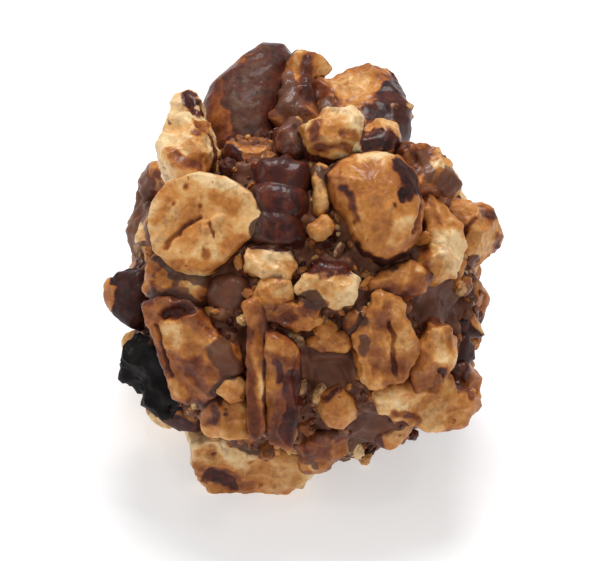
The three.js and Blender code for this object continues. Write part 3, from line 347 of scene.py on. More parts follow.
# Smooth noise from -1 to 1: random values on the corners of a lattice of that pitch, blended by a quintic
# step.
def noise(points, pitch, seed=0):
    q = points / pitch + latticeShift
    cell = np.floor(q).astype(np.int64)
    f = q - cell
    f = f * f * f * (f * (f * 6 - 15) + 10)
    total = np.zeros(len(points))
    for corner in np.ndindex(2, 2, 2):
        share = np.prod(np.where(corner, f, 1 - f), axis=1)
        total += share * (scramble(cell + np.array(corner), seed) / 32767.5 - 1)
    return total


# Layers of noise, each half the pitch and half the height of the last.
def layers(points, pitch, count, seed=0):
    heights = [noise(points, pitch / 2**k, seed + k) / 2**k for k in range(count)]
    return sum(heights) / (2 - 2 ** (1 - count))


# Pebbles: the distance to the nearest of the random points that lie one in each cell of a lattice, from 0
# to about 1.
def pebbles(points, pitch, seed=0):
    q = points / pitch + latticeShift
    cell = np.floor(q).astype(np.int64)
    nearest = np.full(len(points), 9.0)
    for offset in np.ndindex(3, 3, 3):
        there = cell + np.array(offset) - 1
        spot = np.stack([scramble(there, seed + k) / 65536 for k in range(3)], 1)
        nearest = np.minimum(nearest, ((there + spot - q) ** 2).sum(1))
    return np.sqrt(nearest)


# Scooped chips that meet in sharp ridges, as on a broken nut: over the random points s of a lattice, the
# least of the tilted bowls |p - s|^2 - g.(p - s), in units of the pitch. From about -0.4 to 0.5. It comes
# with a random number from 0 to 1 for the chip that each point lies in.
def fracture(points, pitch, seed=0, tilt=0.7):
    q = points / pitch + latticeShift
    cell = np.floor(q).astype(np.int64)
    lowest, chip = np.full(len(points), 9.0), np.zeros(len(points))
    for offset in np.ndindex(3, 3, 3):
        there = cell + np.array(offset) - 1
        spot = np.stack([scramble(there, seed + k) / 65536 for k in range(3)], 1)
        slope = np.stack([scramble(there, seed + k) / 32767.5 - 1 for k in range(3, 6)], 1)
        away = q - there - spot
        bowl = (away**2).sum(1) - tilt * (slope * away).sum(1)
        chip = np.where(bowl < lowest, spot[:, 0], chip)
        lowest = np.minimum(lowest, bowl)
    return lowest, chip


# Directions on the six faces of a cube, each an n by n grid of even angles (tan of -45 to 45 degrees),
# joined at the seams, with the quads between them facing out.
def cubeSphere(n):
    t = np.tan(np.linspace(-1, 1, n + 1) * np.pi / 4)
    u, v = np.meshgrid(t, t, indexing="ij")
    i, j = np.meshgrid(np.arange(n), np.arange(n), indexing="ij")
    first = (i * (n + 1) + j).ravel()
    loop = np.stack([first, first + n + 1, first + n + 2, first + 1], 1)
    points, quads = [], []
    for axis in range(3):
        for side in (1, -1):
            face = np.empty(u.shape + (3,))
            face[..., axis], face[..., (axis + 1) % 3], face[..., (axis + 2) % 3] = side, u, v
            quads.append((loop if side > 0 else loop[:, ::-1]) + len(points) * u.size)
            points.append(unit(face).reshape(-1, 3))
    merged, inverse = np.unique(np.round(np.concatenate(points), 9), axis=0, return_inverse=True)
    return unit(merged), inverse.reshape(-1)[np.concatenate(quads)]


# Normals at the vertices: the sum of the cross products of the diagonals of the quads round each.
def normalsOf(verts, quads):
    flat = np.cross(verts[quads[:, 2]] - verts[quads[:, 0]], verts[quads[:, 3]] - verts[quads[:, 1]])
    corners = quads.ravel()
    sums = [np.bincount(corners, np.repeat(flat[:, k], 4), len(verts)) for k in range(3)]
    return unit(np.stack(sums, 1) + 1e-12)


# A mesh object at the origin from vertices in millimetres, with one number for each vertex under each name
# in marks.
def meshPiece(name, verts, quads, material, marks, smooth=True):
    mesh = bpy.data.meshes.new(name)
    mesh.vertices.add(len(verts))
    mesh.vertices.foreach_set("co", (verts * mm).ravel())
    mesh.loops.add(quads.size)
    mesh.loops.foreach_set("vertex_index", quads.ravel().astype(np.int32))
    mesh.polygons.add(len(quads))
    mesh.polygons.foreach_set("loop_start", np.arange(0, quads.size, 4, dtype=np.int32))
    mesh.polygons.foreach_set("use_smooth", np.full(len(quads), smooth))
    mesh.update(calc_edges=True)
    mesh.validate()
    for key, values in marks.items():
        mesh.attributes.new(key, "FLOAT", "POINT").data.foreach_set("value", values.astype(np.float32))
    mesh.materials.append(material)
    made = bpy.data.objects.new(name, mesh)
    bpy.context.scene.collection.objects.link(made)
    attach(made, "root")
    return made


lumps = waves(901, 9, 6)


# The superellipsoid of the ball grown by lift: (|a/A|^q + |u/B|^q + |t/C|^q)^(1/q), 1 on its surface.
def ballGauge(points, lift=0.0):
    a, u, t = (points @ viewAxes.T).T
    tall = np.where(u > 0, ball["up"], ball["down"]) + lift
    q = ball["squareness"]
    halves = (ball["across"] + lift, tall, ball["toward"] + lift)
    return sum(np.abs(seen / half) ** q for seen, half in zip((a, u, t), halves)) ** (1 / q)


# Straight out of the ball: the slope of that gauge.
def outward(a, u, t):
    q = ball["squareness"] - 1
    tall = ball["up"] if u > 0 else ball["down"]
    halves = np.array([ball["across"], tall, ball["toward"]])
    seen = np.array([a, u, t])
    return unit((np.sign(seen) * np.abs(seen / halves) ** q / halves) @ viewAxes)


# Rows of a piece's axes: its length as near to way as can be, its width, and its thickness along out.
def axesOf(out, way):
    thickness = unit(out)
    length = unit(way - way @ thickness * thickness)
    return np.array([length, np.cross(thickness, length), thickness])


# The place of a front piece: on the ball grown by its stand, where the middle of its top face is seen at
# the mean of its outline.
def placeInFront(piece):
    stand, q = piece["stand"], ball["squareness"]
    a, u = np.mean(piece["outline"], axis=0)
    for sunk in (0, kernelForm["topShare"] * piece["thick"] / 2):
        if sunk:
            a, u = np.array([a, u]) - sunk * (viewAxes[:2] @ unit(out))
        tall = (ball["up"] if u > 0 else ball["down"]) + stand
        left = 1 - abs(a / (ball["across"] + stand)) ** q - abs(u / tall) ** q
        t = piece.get("near") or (ball["toward"] + stand) * max(0.0, left) ** (1 / q)
        out = outward(a, u, t) * (1 - piece["face"]) + viewAxes[2] * piece["face"]
    angle = np.radians(piece["turn"])
    way = np.array([np.cos(angle), np.sin(angle), 0]) @ viewAxes
    return {"at": np.array([a, u, t]) @ viewAxes, "axes": axesOf(out, way)}


# A front piece with its place, and with its outline laid into its own plane and scaled to -1 to 1 both
# ways, as corners in order of their angles.
def outlined(piece):
    place = placeInFront(piece)
    seen = np.array(piece["outline"]) - np.mean(piece["outline"], axis=0)
    inPlane = np.linalg.solve((place["axes"][:2] @ viewAxes[:2].T).T, seen.T).T
    halves = np.ptp(inPlane, axis=0) / 2 * kernelForm["spread"]
    corners = inPlane / halves * kernelForm["spread"]
    edge = corners[np.argsort(np.arctan2(corners[:, 1], corners[:, 0]))]
    return {**piece, "place": place, "edge": edge, "size": (2 * halves[0], 2 * halves[1], piece["thick"])}


# The arms of a piece that forks, each a front piece of the same kind with an outline of its own.
def armsOf(piece):
    own = lambda k: {"arms": [], "seed": piece["seed"] + 200 + k}
    return [outlined({**piece, **own(k), **arm}) for k, arm in enumerate(piece.get("arms", []))]


# The knife cuts of a piece: unit normals and distances, none squarely across its skin. On a piece with an
# outline they only bevel its top, so that its outline stays.
def cutsOf(piece):
    kind = kinds[piece["kind"]]
    draw = draws(piece["seed"])
    side = unit(np.array(piece.get("skin", (0, 0, -1)), float))
    spin = randomSpin(draw)
    normals, heights = [], []
    for n in spread(kind["cuts"]) if kind["cuts"] else []:
        n = unit(spin @ n + np.array([draw(-0.3, 0.3) for _ in range(3)]))
        height = draw(*kind["depth"])
        if "edge" in piece:
            height = np.hypot(n[0], n[1]) + n[2] * (2 * height - 1)
        if n @ side < kernelForm["skinCone"] and ("edge" not in piece or n[2] > kernelForm["topCuts"]):
            normals.append(n)
            heights.append(height)
    for way in (1, -1) if kind["flat"] else ():
        normals.append(unit(np.array([draw(-0.1, 0.1), draw(-0.1, 0.1), way])))
        heights.append(1)
    return np.array(normals).reshape(-1, 3), np.array(heights)


# How far out each x, y lies in an outline: 1 on the straight line between the corners a and b on both sides
# of it, which is (x (by - ay) - y (bx - ax)) / (ax by - ay bx).
def outlineGauge(edge, x, y):
    after = np.searchsorted(np.arctan2(edge[:, 1], edge[:, 0]), np.arctan2(y, x)) % len(edge)
    (ax, ay), (bx, by) = edge[after - 1].T, edge[after].T
    return (x * (by - ay) - y * (bx - ax)) / (ax * by - ay * bx)


# A piece's form. reach(d) is the distance to its surface along d: the p-norm of the round kernel and of
# every knife cut, to the power -1/p. It comes with each one's share, the kernel's first.
def formOf(piece):
    kind = kinds[piece["kind"]]
    normals, heights = cutsOf(piece)
    wave = waves(piece["seed"] + 50, 4, 3.2)
    p = kind["crisp"]

    def reach(d):
        q = d / np.array(kind["round"])
        if "edge" in piece:
            q = np.stack([outlineGauge(piece["edge"], d[:, 0], d[:, 1]), q[:, 2]], 1)
        sides = (np.abs(q) ** kind["boxy"]).sum(1)
        terms = np.maximum(0, d @ normals.T) / heights
        terms = np.concatenate([sides[:, None] ** (p / kind["boxy"]), terms**p], 1)
        r = terms.sum(1) ** (-1 / p) * (1 + kind["lumps"] * wave(d))
        if piece["kind"] == "ridged":
            bulge = np.abs(np.cos(np.pi * r * d[:, 0] / kernelForm["ridgePitch"]))
            r = r * (1 + kernelForm["ridgeDepth"] * (bulge - 0.6))
        if piece["kind"] == "kernel":
            furrow = np.exp(-((d[:, 1] / kernelForm["furrowWidth"]) ** 2)) * np.maximum(0, d[:, 2])
            r = r * (1 - kernelForm["furrowDepth"] * furrow)
        return r, terms / terms.sum(1, keepdims=True)

    sample = spread(240)
    most = np.abs(reach(sample)[0][:, None] * sample).max(0)
    if "edge" in piece:
        most[:2] = 1
    return reach, np.array(piece["size"]) / 2 / most


# How near a point comes to each piece: under 1 it is inside. For points from the ball's middle.
def pieceGauge(piece, points):
    reach, scale = piece["form"]
    q = (points - piece["place"]["at"]) @ piece["place"]["axes"].T / scale
    away = np.linalg.norm(q, axis=1) + 1e-9
    return away / reach(q / away[:, None])[0]


# The numbers of the points that lie within reach of a piece's middle.
def closeTo(piece, points, reach):
    return np.flatnonzero(((points - piece["place"]["at"]) ** 2).sum(1) < reach**2)


# Pieces placed by rule on free spots.
def placeByRule(rule, there):
    draw = draws(rule["seed"])
    spin = randomSpin(draw)
    jitter = 1.1 / np.sqrt(rule["spots"])
    made = []
    for spot in spread(rule["spots"]):
        d = unit(spin @ spot + np.array([draw(-jitter, jitter) for _ in range(3)]))
        length = draw(*rule["size"])
        size = (length, length * draw(*rule["slimness"]), length * draw(*rule["slimness"]) * 0.9)
        lift = draw(*rule["lift"])
        lean = np.array([draw(-0.5, 0.5) for _ in range(3)])
        way = np.array([draw(-1, 1) for _ in range(3)])
        kind = ruleKinds[int(draw(0, len(ruleKinds)))]
        skin = tuple(draw(-1, 1) for _ in range(3))
        at = d / ballGauge(d[None], lift)[0]
        seen = viewAxes @ at
        inView = viewAxes @ d
        out = outward(*inView) + lean
        bare = any(inView[2] > 0 and np.hypot(seen[0] - a, seen[1] - u) < r for a, u, r in barePatches)
        room = length * 0.4
        crowded = any(
            np.linalg.norm(
                other["place"]["axes"] @ (at - other["place"]["at"]) / (np.array(other["size"]) / 2 + room)
            ) < rule["spacing"]
            for other in there + made
        )
        if bare or crowded or seen[2] > rule["behind"] or -d[2] > rule["underside"]:
            continue
        place = {"at": at, "axes": axesOf(out, way)}
        seed = rule["seed"] + len(made) + 1
        made.append({"kind": kind, "seed": seed, "size": size, "skin": skin, "place": place})
    return made


# Roasting, skin and smears of the pieces placed by rule, drawn at random.
def finishByRule(pieces, seed):
    dice = np.random.default_rng(seed)
    for piece in pieces:
        piece["tone"] = dice.uniform(0.08, 0.6)
        piece["coat"] = dice.choice([0.04, 0.1, 0.2, 0.5], p=[0.35, 0.35, 0.2, 0.1])
        piece["bare"] = dice.choice([0.2, 0.5, -0.2, 1.0], p=[0.25, 0.3, 0.2, 0.25])
        piece["dark"] = dice.choice([0.0, 0.3, 0.8], p=[0.6, 0.3, 0.1])
    return pieces


frontPieces = [outlined({**usual, **piece}) for piece in frontPieces]
frontChops = [outlined({**usual, **piece}) for piece in frontChops]
arms = [arm for piece in frontPieces for arm in armsOf(piece)]
backPieces = finishByRule(placeByRule(rules[0], frontPieces + arms + frontChops), 11)
for k, piece in enumerate(backPieces):
    piece["name"] = f"pecan_{k + 1:02d}"
wholePieces = frontPieces + backPieces
chops = list(frontChops)
chops += finishByRule(placeByRule(rules[1], wholePieces + arms + chops), 12)
chops += finishByRule(placeByRule(rules[2], wholePieces + arms + chops), 13)
for piece in wholePieces + arms + chops:
    piece["form"] = formOf(piece)
print("placed", len(wholePieces), "pecan pieces and", len(chops), "chopped ones")


# Screen colour 0 to 255 as the linear colour that shaders take: ((c + 0.055) / 1.055)^2.4.
def screenColor(r, g, b):
    c = np.array([r, g, b]) / 255
    linear = np.where(c > 0.04045, ((c + 0.055) / 1.055) ** 2.4, c / 12.92)
    return (*linear, 1.0)


# A material and short ways to add nodes to it: add makes a node with some inputs set or linked.
class Shader:
    def __init__(self, name):
        self.material = bpy.data.materials.new(name)
        self.material.use_nodes = True
        self.tree = self.material.node_tree
        self.tree.nodes.clear()
        self.place = self.add("ShaderNodeTexCoord").outputs["Object"]

    def add(self, kind, inputs=None, **settings):
        node = self.tree.nodes.new(kind)
        for key, value in settings.items():
            setattr(node, key, value)
        for key, value in (inputs or {}).items():
            if isinstance(value, bpy.types.NodeSocket):
                self.tree.links.new(value, node.inputs[key])
            else:
                node.inputs[key].default_value = value
        return node

    def mark(self, name):
        return self.add("ShaderNodeAttribute", attribute_name=name).outputs["Fac"]

    def grain(self, pitch, detail=3.0, distortion=0.0):  # noise of that pitch in millimetres
        inputs = {"Vector": self.place, "Scale": 1 / (pitch * mm), "Detail": detail, "Distortion": distortion}
        return self.add("ShaderNodeTexNoise", inputs).outputs["Fac"]

    def stir(self, value, height, *grain):  # value with a grain of that height added, even about 0
        centred = self.sum("SUBTRACT", self.grain(*grain), 0.5)
        return self.sum("MULTIPLY_ADD", centred, height, value)

    def spots(self, pitch, detail, *levels):  # a grain, from the level where it starts to where it is full
        return self.span(self.grain(pitch, detail), *levels)

    def ramp(self, value, *stops):  # colours or numbers at positions from 0 to 1
        node = self.add("ShaderNodeValToRGB", {"Fac": value})
        elements = node.color_ramp.elements
        while len(elements) < len(stops):
            elements.new(0.5)
        for element, (position, color) in zip(elements, stops):
            element.position = position
            element.color = color if isinstance(color, tuple) else (color, color, color, 1)
        return node.outputs["Color"]

    def span(self, value, low, high, start=0.0, end=1.0):  # low to high becomes start to end, eased
        node = self.add("ShaderNodeMapRange", interpolation_type="SMOOTHSTEP")
        self.tree.links.new(value, node.inputs[0])
        for k, number in enumerate((low, high, start, end)):
            node.inputs[k + 1].default_value = number
        return node.outputs[0]

    def sum(self, kind, a, b, c=None):
        node = self.add("ShaderNodeMath", operation=kind)
        for k, value in enumerate(v for v in (a, b, c) if v is not None):
            if isinstance(value, bpy.types.NodeSocket):
                self.tree.links.new(value, node.inputs[k])
            else:
                node.inputs[k].default_value = value
        return node.outputs[0]

    def bump(self, pitch, detail, strength, height):  # low relief of that pitch and height in millimetres
        inputs = {"Height": self.grain(pitch, detail), "Strength": strength, "Distance": height * mm}
        return self.add("ShaderNodeBump", inputs).outputs[0]

    def mix(self, share, a, b):  # colour a to colour b
        node = self.add("ShaderNodeMix", data_type="RGBA")
        for key, value in ((0, share), (6, a), (7, b)):
            if isinstance(value, bpy.types.NodeSocket):
                self.tree.links.new(value, node.inputs[key])
            else:
                node.inputs[key].default_value = value
        return node.outputs[2]

    def finish(self, **inputs):
        names = {key: key.replace("_", " ").replace("Ior", "IOR") for key in inputs}
        surface = self.add("ShaderNodeBsdfPrincipled", {names[key]: value for key, value in inputs.items()})
        self.add("ShaderNodeOutputMaterial", {"Surface": surface.outputs[0]})
        return self.material


# In both looks a grain is its pitch in mm and its detail, and a distortion if it has one. Levels are where
# something starts and where it is full, with its shares there if they aren't 0 and 1. Spots are a grain and
# its levels, a stir is how far a grain moves a value and that grain, and pores are a grain with the strength
# of its relief and the height in mm.
chocolateLook = {
    # deep is the darkest chocolate in the clouds, and also the painted shade of hollows and crevices
    "deep": screenColor(58, 31, 22),
    "body": screenColor(106, 64, 46),
    "paleBrown": screenColor(150, 102, 70),
    "cloudGrain": (2.6, 4),
    "cloudStops": (0.3, 0.55, 0.8),  # where the clouds are deep, body and pale brown
    "evenness": 0.45,
    "hollowShadeLevels": (0.35, 0.0, 0, 0.75),
    "ridgeLevels": (0.62, 0.95, 0, 0.6),
    "roughSpots": (1.7, 3, 0.35, 0.65),
    "roughness": (0.38, 0.68),
    "pores": (0.5, 4, 0.5, 0.16),
}

pecanLook = {
    "flesh": [(0.0, screenColor(234, 202, 152)), (0.16, screenColor(220, 170, 108)),
              (0.36, screenColor(196, 128, 60)), (0.56, screenColor(160, 94, 42)),
              (0.76, screenColor(114, 55, 28)), (1.0, screenColor(66, 29, 20))],
    "speck": screenColor(112, 52, 32),
    "skinDeep": screenColor(48, 18, 13),
    "skinBody": screenColor(78, 28, 18),
    "skinRubbed": screenColor(112, 52, 30),
    "skinRim": screenColor(142, 74, 40),  # where it thins out
    "burnt": screenColor(18, 12, 12),
    # the dusty patch, whose paler colour is also painted sheen
    "dustAndSheen": screenColor(98, 68, 50),
    "film": screenColor(122, 66, 34),  # of praline rubbed over the flesh
    "filmShare": 0.42,
    "filmPatches": (2.4, 3, 0.46, 0.62),
    "filmSpots": (0.6, 4, 0.42, 0.66),
    "toneStirs": [(0.35, 2.2, 5, 0.6), (0.36, 0.55, 3), (0.12, 0.24, 2)],
    "speckSpots": (0.7, 2, 0.68, 0.76, 0, 0.75),
    "veinGrain": (1.5, 5, 1.2),
    "veinStops": (0.34, 0.52, 0.78),  # where the skin is deep, body and rubbed
    "dustSpots": (0.9, 5, 0.35, 0.7, 0.15, 0.9),
    "skinStir": (1.1, 0.6, 5),
    "skinRimLevels": (0.12, 0.6, 0, 0.85),
    "skinLevels": (0.36, 0.78),
    "smearStir": (0.9, 0.8, 4),
    "smearLevels": (0.3, 0.68, 0, 0.92),
    # painted shade: how far the shade mark darkens the smear toward deep
    "shadeLevels": (0.1, 0.9, 0, 0.85),
    "fleshRoughness": 0.5,
    "skinRoughness": 0.4,
    "roughStir": (0.3, 1.1, 3),
    "gloss": 0.26,
    "dulling": {"dark": (0.35, -0.22), "dustAndSheen": (0.25, -0.16)},  # what each mark adds to roughness and gloss
    "fleshPores": (0.34, 4, 0.5, 0.14),
    "oilPores": (0.6, 3, 0.4, 0.16),
}


def chocolateColor(shader):
    look = chocolateLook
    stops = zip(look["cloudStops"], (look["deep"], look["body"], look["paleBrown"]))
    return shader.mix(look["evenness"], shader.ramp(shader.grain(*look["cloudGrain"]), *stops), look["body"])


def makeChocolate():
    shader = Shader("milkChocolate")
    look = chocolateLook
    color = chocolateColor(shader)
    crag = shader.mark("crag")  # 0 in hollows, 1 on crumbs and ridges; the hollows get painted shade in the deep colour
    color = shader.mix(shader.span(crag, *look["hollowShadeLevels"]), color, look["deep"])
    # paler on the raised crumbs and ridges
    color = shader.mix(shader.span(crag, *look["ridgeLevels"]), color, look["paleBrown"])
    rough = shader.spots(*look["roughSpots"], *look["roughness"])
    bump = shader.bump(*look["pores"])
    return shader.finish(Base_Color=color, Roughness=rough, Normal=bump, Coat_Normal=bump, Coat_Weight=0.1,
                         Coat_Roughness=0.2, Specular_IOR_Level=0.2)


def makePecan():
    shader = Shader("roastedPecan")
    look = pecanLook
    # the flesh, from cream to toasted, with specks of skin
    tone = shader.mark("tone")
    for stir in look["toneStirs"]:
        tone = shader.stir(tone, *stir)
    flesh = shader.ramp(tone, *look["flesh"])
    film = shader.sum("MULTIPLY", shader.spots(*look["filmPatches"]), shader.spots(*look["filmSpots"]))
    flesh = shader.mix(shader.sum("MULTIPLY", film, look["filmShare"]), flesh, look["film"])
    flesh = shader.mix(shader.spots(*look["speckSpots"]), flesh, look["speck"])
    # the skin, dark in its veins and rubbed on its ridges
    stops = zip(look["veinStops"], (look["skinDeep"], look["skinBody"], look["skinRubbed"]))
    skin = shader.ramp(shader.grain(*look["veinGrain"]), *stops)
    # a grey-brown dusty patch with dusty spots, which also paints the sheen on the kernel's top
    dustySheen = shader.sum("MULTIPLY", shader.mark("dustAndSheen"), shader.spots(*look["dustSpots"]))
    skin = shader.mix(dustySheen, skin, look["dustAndSheen"])
    skin = shader.mix(shader.mark("dark"), skin, look["burnt"])
    edge = shader.stir(shader.mark("skin"), *look["skinStir"])
    color = shader.mix(shader.span(edge, *look["skinRimLevels"]), flesh, look["skinRim"])
    skinShare = shader.span(edge, *look["skinLevels"])
    color = shader.mix(skinShare, color, skin)
    # smeared chocolate, painted darker toward deep where the shade mark lies, as shade in crevices and near
    # the ball
    smear = shader.stir(shader.mark("coat"), *look["smearStir"])
    shade = shader.span(shader.mark("shade"), *look["shadeLevels"])
    shadedSmear = shader.mix(shade, chocolateColor(shader), chocolateLook["deep"])
    color = shader.mix(shader.span(smear, *look["smearLevels"]), color, shadedSmear)
    # rougher and less glossy where it is burnt, and in the dusty patch that is also painted sheen
    ends = {0: skinShare, 2: look["fleshRoughness"], 3: look["skinRoughness"]}
    rough = shader.stir(shader.add("ShaderNodeMix", ends).outputs[0], *look["roughStir"])
    gloss = look["gloss"]
    for name, (rougher, glossier) in look["dulling"].items():
        rough = shader.sum("MULTIPLY_ADD", shader.mark(name), rougher, rough)
        gloss = shader.sum("MULTIPLY_ADD", shader.mark(name), glossier, gloss)
    bump = shader.bump(*look["fleshPores"])
    oily = shader.bump(*look["oilPores"])
    return shader.finish(Base_Color=color, Roughness=rough, Normal=bump, Coat_Normal=oily, Coat_Weight=gloss,
                         Coat_Roughness=0.12, Specular_IOR_Level=0.18, Subsurface_Weight=0.1,
                         Subsurface_Scale=0.8 * mm)


chocolate = makeChocolate()
pecan = makePecan()
print("materials ready")


# Each noise on the pecans: its pitch in mm and its seed, with the number of its layers between them if it
# has several.
pecanNoise = {
    "folds": (3.4, 19),
    "scoops": (2.8, 21),
    "chips": (1.15, 22),
    "grain": (0.7, 2, 23),
    "drift": (4.2, 24),
    "wrinkles": (0.8, 41),
    "fineWrinkles": (0.6, 42),
    "creep": (1.5, 5),
    "crevice": (0.9, 6),
    "patches": (2.6, 3, 8),
    "smear": (0.8, 51),
}

# How the pecans are toasted, in tone from 0 to 1, with painted light and shade on their ridges, folds and
# feet. Levels are where something starts and where it is full.
roastAndShade = {
    "roast": 0.06,  # added to every piece
    "drift": 0.2,  # how much it drifts over a piece
    "cut": 0.14,  # how much it differs between knife cuts
    "faces": (0.26, 0.16),  # how much it differs between scoops and between chips
    "ridgeLight": 0.3,  # painted light and shade: how much paler the ridges are than the dents
    "ridgeShares": (0.6, 0.4),  # of scoops and chips in the ridges
    "ridgeMean": 0.1,
    # painted light and shade: how much paler the raised folds are than the low ones
    "foldLight": 0.2,
    "side": 0.16,  # how much browner sides and edges are
    "sideLevels": (0.55, 0.2),  # on a piece with an outline, by how far a direction leans out of its plane
    "edgeLevels": (0.7, 0.2),  # on another piece, by the share of its nearest cut
    "foot": 0.2,  # painted shade: how much browner it is near the chocolate, where it meets the ball
    "footLevels": (2.6, 0.4),  # height over it in mm
}

# where the brown skin lies
skinLie = {
    "wander": 0.22,  # how far its border wanders, with the pitch in mm
    "pitch": 2.4,
    "fade": 0.12,  # half the width of the border
    "roundLevels": (0.3, 0.6),  # the share of the round kernel that has to be left under it
    "sidePitch": 3.5,  # of the scraps of skin on the sides, in mm
    "sideLevels": (0.05, 0.25),
    "sideSeed": 7,  # added to the piece's own
}

# the chocolate smeared on the pecans, with heights and widths in mm
coating = {
    "creepLevels": (1.7, 0.3),  # how high it coats the foot of a piece
    "creepRough": 0.9,
    "crevice": 1.0,  # how wide it is between two pieces, and where it is full; it is real chocolate there, and with the shade mark also the painted shade of the crevice
    "creviceFull": 0.15,
    "creviceRough": 0.35,
    "patchGain": 0.8,  # how much more of it a piece with more coat has
    "patchRough": 0.6,
    "patchFade": 0.12,
    "offSkin": 0.8,  # share of it that drawn skin keeps off
    "fills": 0.6,  # share of the relief that it fills
    "depth": 0.25,
    "depthSpread": (0.6, 0.5),  # mean and unevenness, as shares of the depth
    "shadeLevels": (1.2, -0.3),  # height over the ball where it turns dark, as painted shade
    "searchShare": 0.6,  # of a piece's length, within which it may be a neighbour
}

relief = {
    "folds": 0.35,  # heights of each size of roughness, in mm
    "scoops": 1.1,
    "chips": 0.5,
    "grain": 0.07,
    "foldMean": 0.3,
    "warp": 0.35,  # how far the drawn marks wander, with the pitch in mm and a seed for each way
    "warpPitch": 1.3,
    "warpSeeds": (91, 92, 93),
    "markRagged": 0.5,  # how rough their edges are, in radii
    "markPitch": (0.4, 0.6),  # of that roughness, in mm, and what it gains with the radius
    "markLevels": (1.5, 0.4),  # how far from its line a mark starts and is full, in radii
    "wrinkle": 0.06,
    "wrinkleStretch": (0.35, 1, 1),  # wrinkles are long along the piece
    "fineWrinkle": 0.5,
    "skinStep": 0.06,  # how far the skin stands over the flesh
    "skinHides": 0.75,  # share of the broken relief that skin hides
    "burntFrom": 0.9,  # skin this dark is burnt, and as broken as the flesh
    "chipSize": 3.2,  # a chopped piece shorter than this gets the chip's grid
    "wholeGrid": 52,
    "armGrid": 32,
    "backGrid": 36,
    "frontChopGrid": 26,
    "chopGrid": 13,
    "chipGrid": 8,
}

# how deep each drawn mark goes, in mm, and how much browner it is. A cream mark is pale flesh on some pieces
# and a painted highlight on others, and the browning of a hollow is painted shade in its dent.
markDepth = {"slit": (-0.35, 0.38), "bump": (0.45, -0.1), "toast": (0.0, 0.5), "blush": (0.0, 0.24),
             "creamAndHighlight": (0.0, -0.3), "hollow": (-1.0, 0.5)}

# how much of the broken relief each kind of piece lacks
calm = {"disc": 0.8, "ridged": 0.85, "smooth": 0.55, "kernel": 0.4}


# One lobe of a piece. Its surface is its middle plus reach(d) times its half sizes along each direction d.
# Every knife cut has a tone of its own, edges are browner, and the skin lies where the round kernel is
# left.
def lobeOf(piece, grid):
    d, quads = cubeSphere(grid)
    reach, scale = piece["form"]
    r, shares = reach(d)
    local = r[:, None] * d * scale
    seed = piece["seed"]
    cutTone = np.random.default_rng(seed).uniform(-roastAndShade["cut"], roastAndShade["cut"], shares.shape[1])
    if "edge" in piece:
        sides = step(np.abs(d[:, 2]), *roastAndShade["sideLevels"])
    else:
        sides = step(shares.max(1), *roastAndShade["edgeLevels"])
    tone = piece["tone"] + shares @ cutTone + piece.get("sideTone", roastAndShade["side"]) * sides
    bare = piece.get("bare", 1)
    side = unit(np.array(piece.get("skin", (0, 0, -1)), float))
    reached = d @ side + skinLie["wander"] * noise(local, skinLie["pitch"], seed)
    skin = step(reached, bare - skinLie["fade"], bare + skinLie["fade"])
    skin = skin * (step(shares[:, 0], *skinLie["roundLevels"]) if bare > -1 else 1) * (bare < 1)
    if "edge" in piece:
        scraps = step(noise(local, skinLie["sidePitch"], seed + skinLie["sideSeed"]), *skinLie["sideLevels"])
        skin = np.maximum(skin, sides * scraps)
    verts = middle + piece["place"]["at"] + local @ piece["place"]["axes"]
    broken = piece.get("rough", 1) * (1 - calm.get(piece["kind"], 0))
    return {"piece": piece, "verts": verts, "quads": quads, "local": local, "tone": tone, "skin": skin,
            "coat": piece["coat"], "dark": piece.get("dark", 0), "marks": piece.get("marks", []),
            "broken": broken}


# The marks of each lobe, 0 to 1 at every vertex on its front: nearness to the mark's line, with a rough
# edge.
def drawn(lobe, normals):
    shares = dict.fromkeys(markDepth, 0) | {"skin": 0, "flesh": 0, "coat": 0, "dustAndSheen": 0}
    seen = (lobe["verts"] - middle) @ viewAxes.T
    ways = [noise(seen, relief["warpPitch"], seed) for seed in relief["warpSeeds"]]
    seen = seen + relief["warp"] * np.stack(ways, 1)
    finest, growth = relief["markPitch"]
    outer, inner = relief["markLevels"]
    for kind, a0, u0, a1, u1, radius in lobe["marks"]:
        start, line = np.array([a0, u0]), np.array([a1 - a0, u1 - u0])
        along = np.clip((seen[:, :2] - start) @ line / max(line @ line, 1e-9), 0, 1)
        away = np.hypot(*(seen[:, :2] - start - along[:, None] * line).T)
        ragged = noise(seen, finest + growth * radius, len(lobe["marks"]))
        away = away + relief["markRagged"] * radius * ragged
        share = step(away, outer * radius, inner * radius) * (normals @ viewAxes[2] > 0)
        shares[kind] = np.maximum(shares[kind], share)
    return shares


# The distance in mm from each point of a piece's lobes to the nearest other piece, up to the width of a
# crevice.
def clearance(points, own):
    nearest = np.full(len(points), coating["crevice"])
    for other in wholePieces + arms + chops:
        if any(other is piece for piece in own):
            continue
        half = np.mean(other["size"]) / 2
        near = closeTo(other, points, max(other["size"]) * coating["searchShare"] + coating["crevice"])
        if len(near):
            nearest[near] = np.minimum(nearest[near], (pieceGauge(other, points[near]) - 1) * half)
    return np.maximum(nearest, 0)


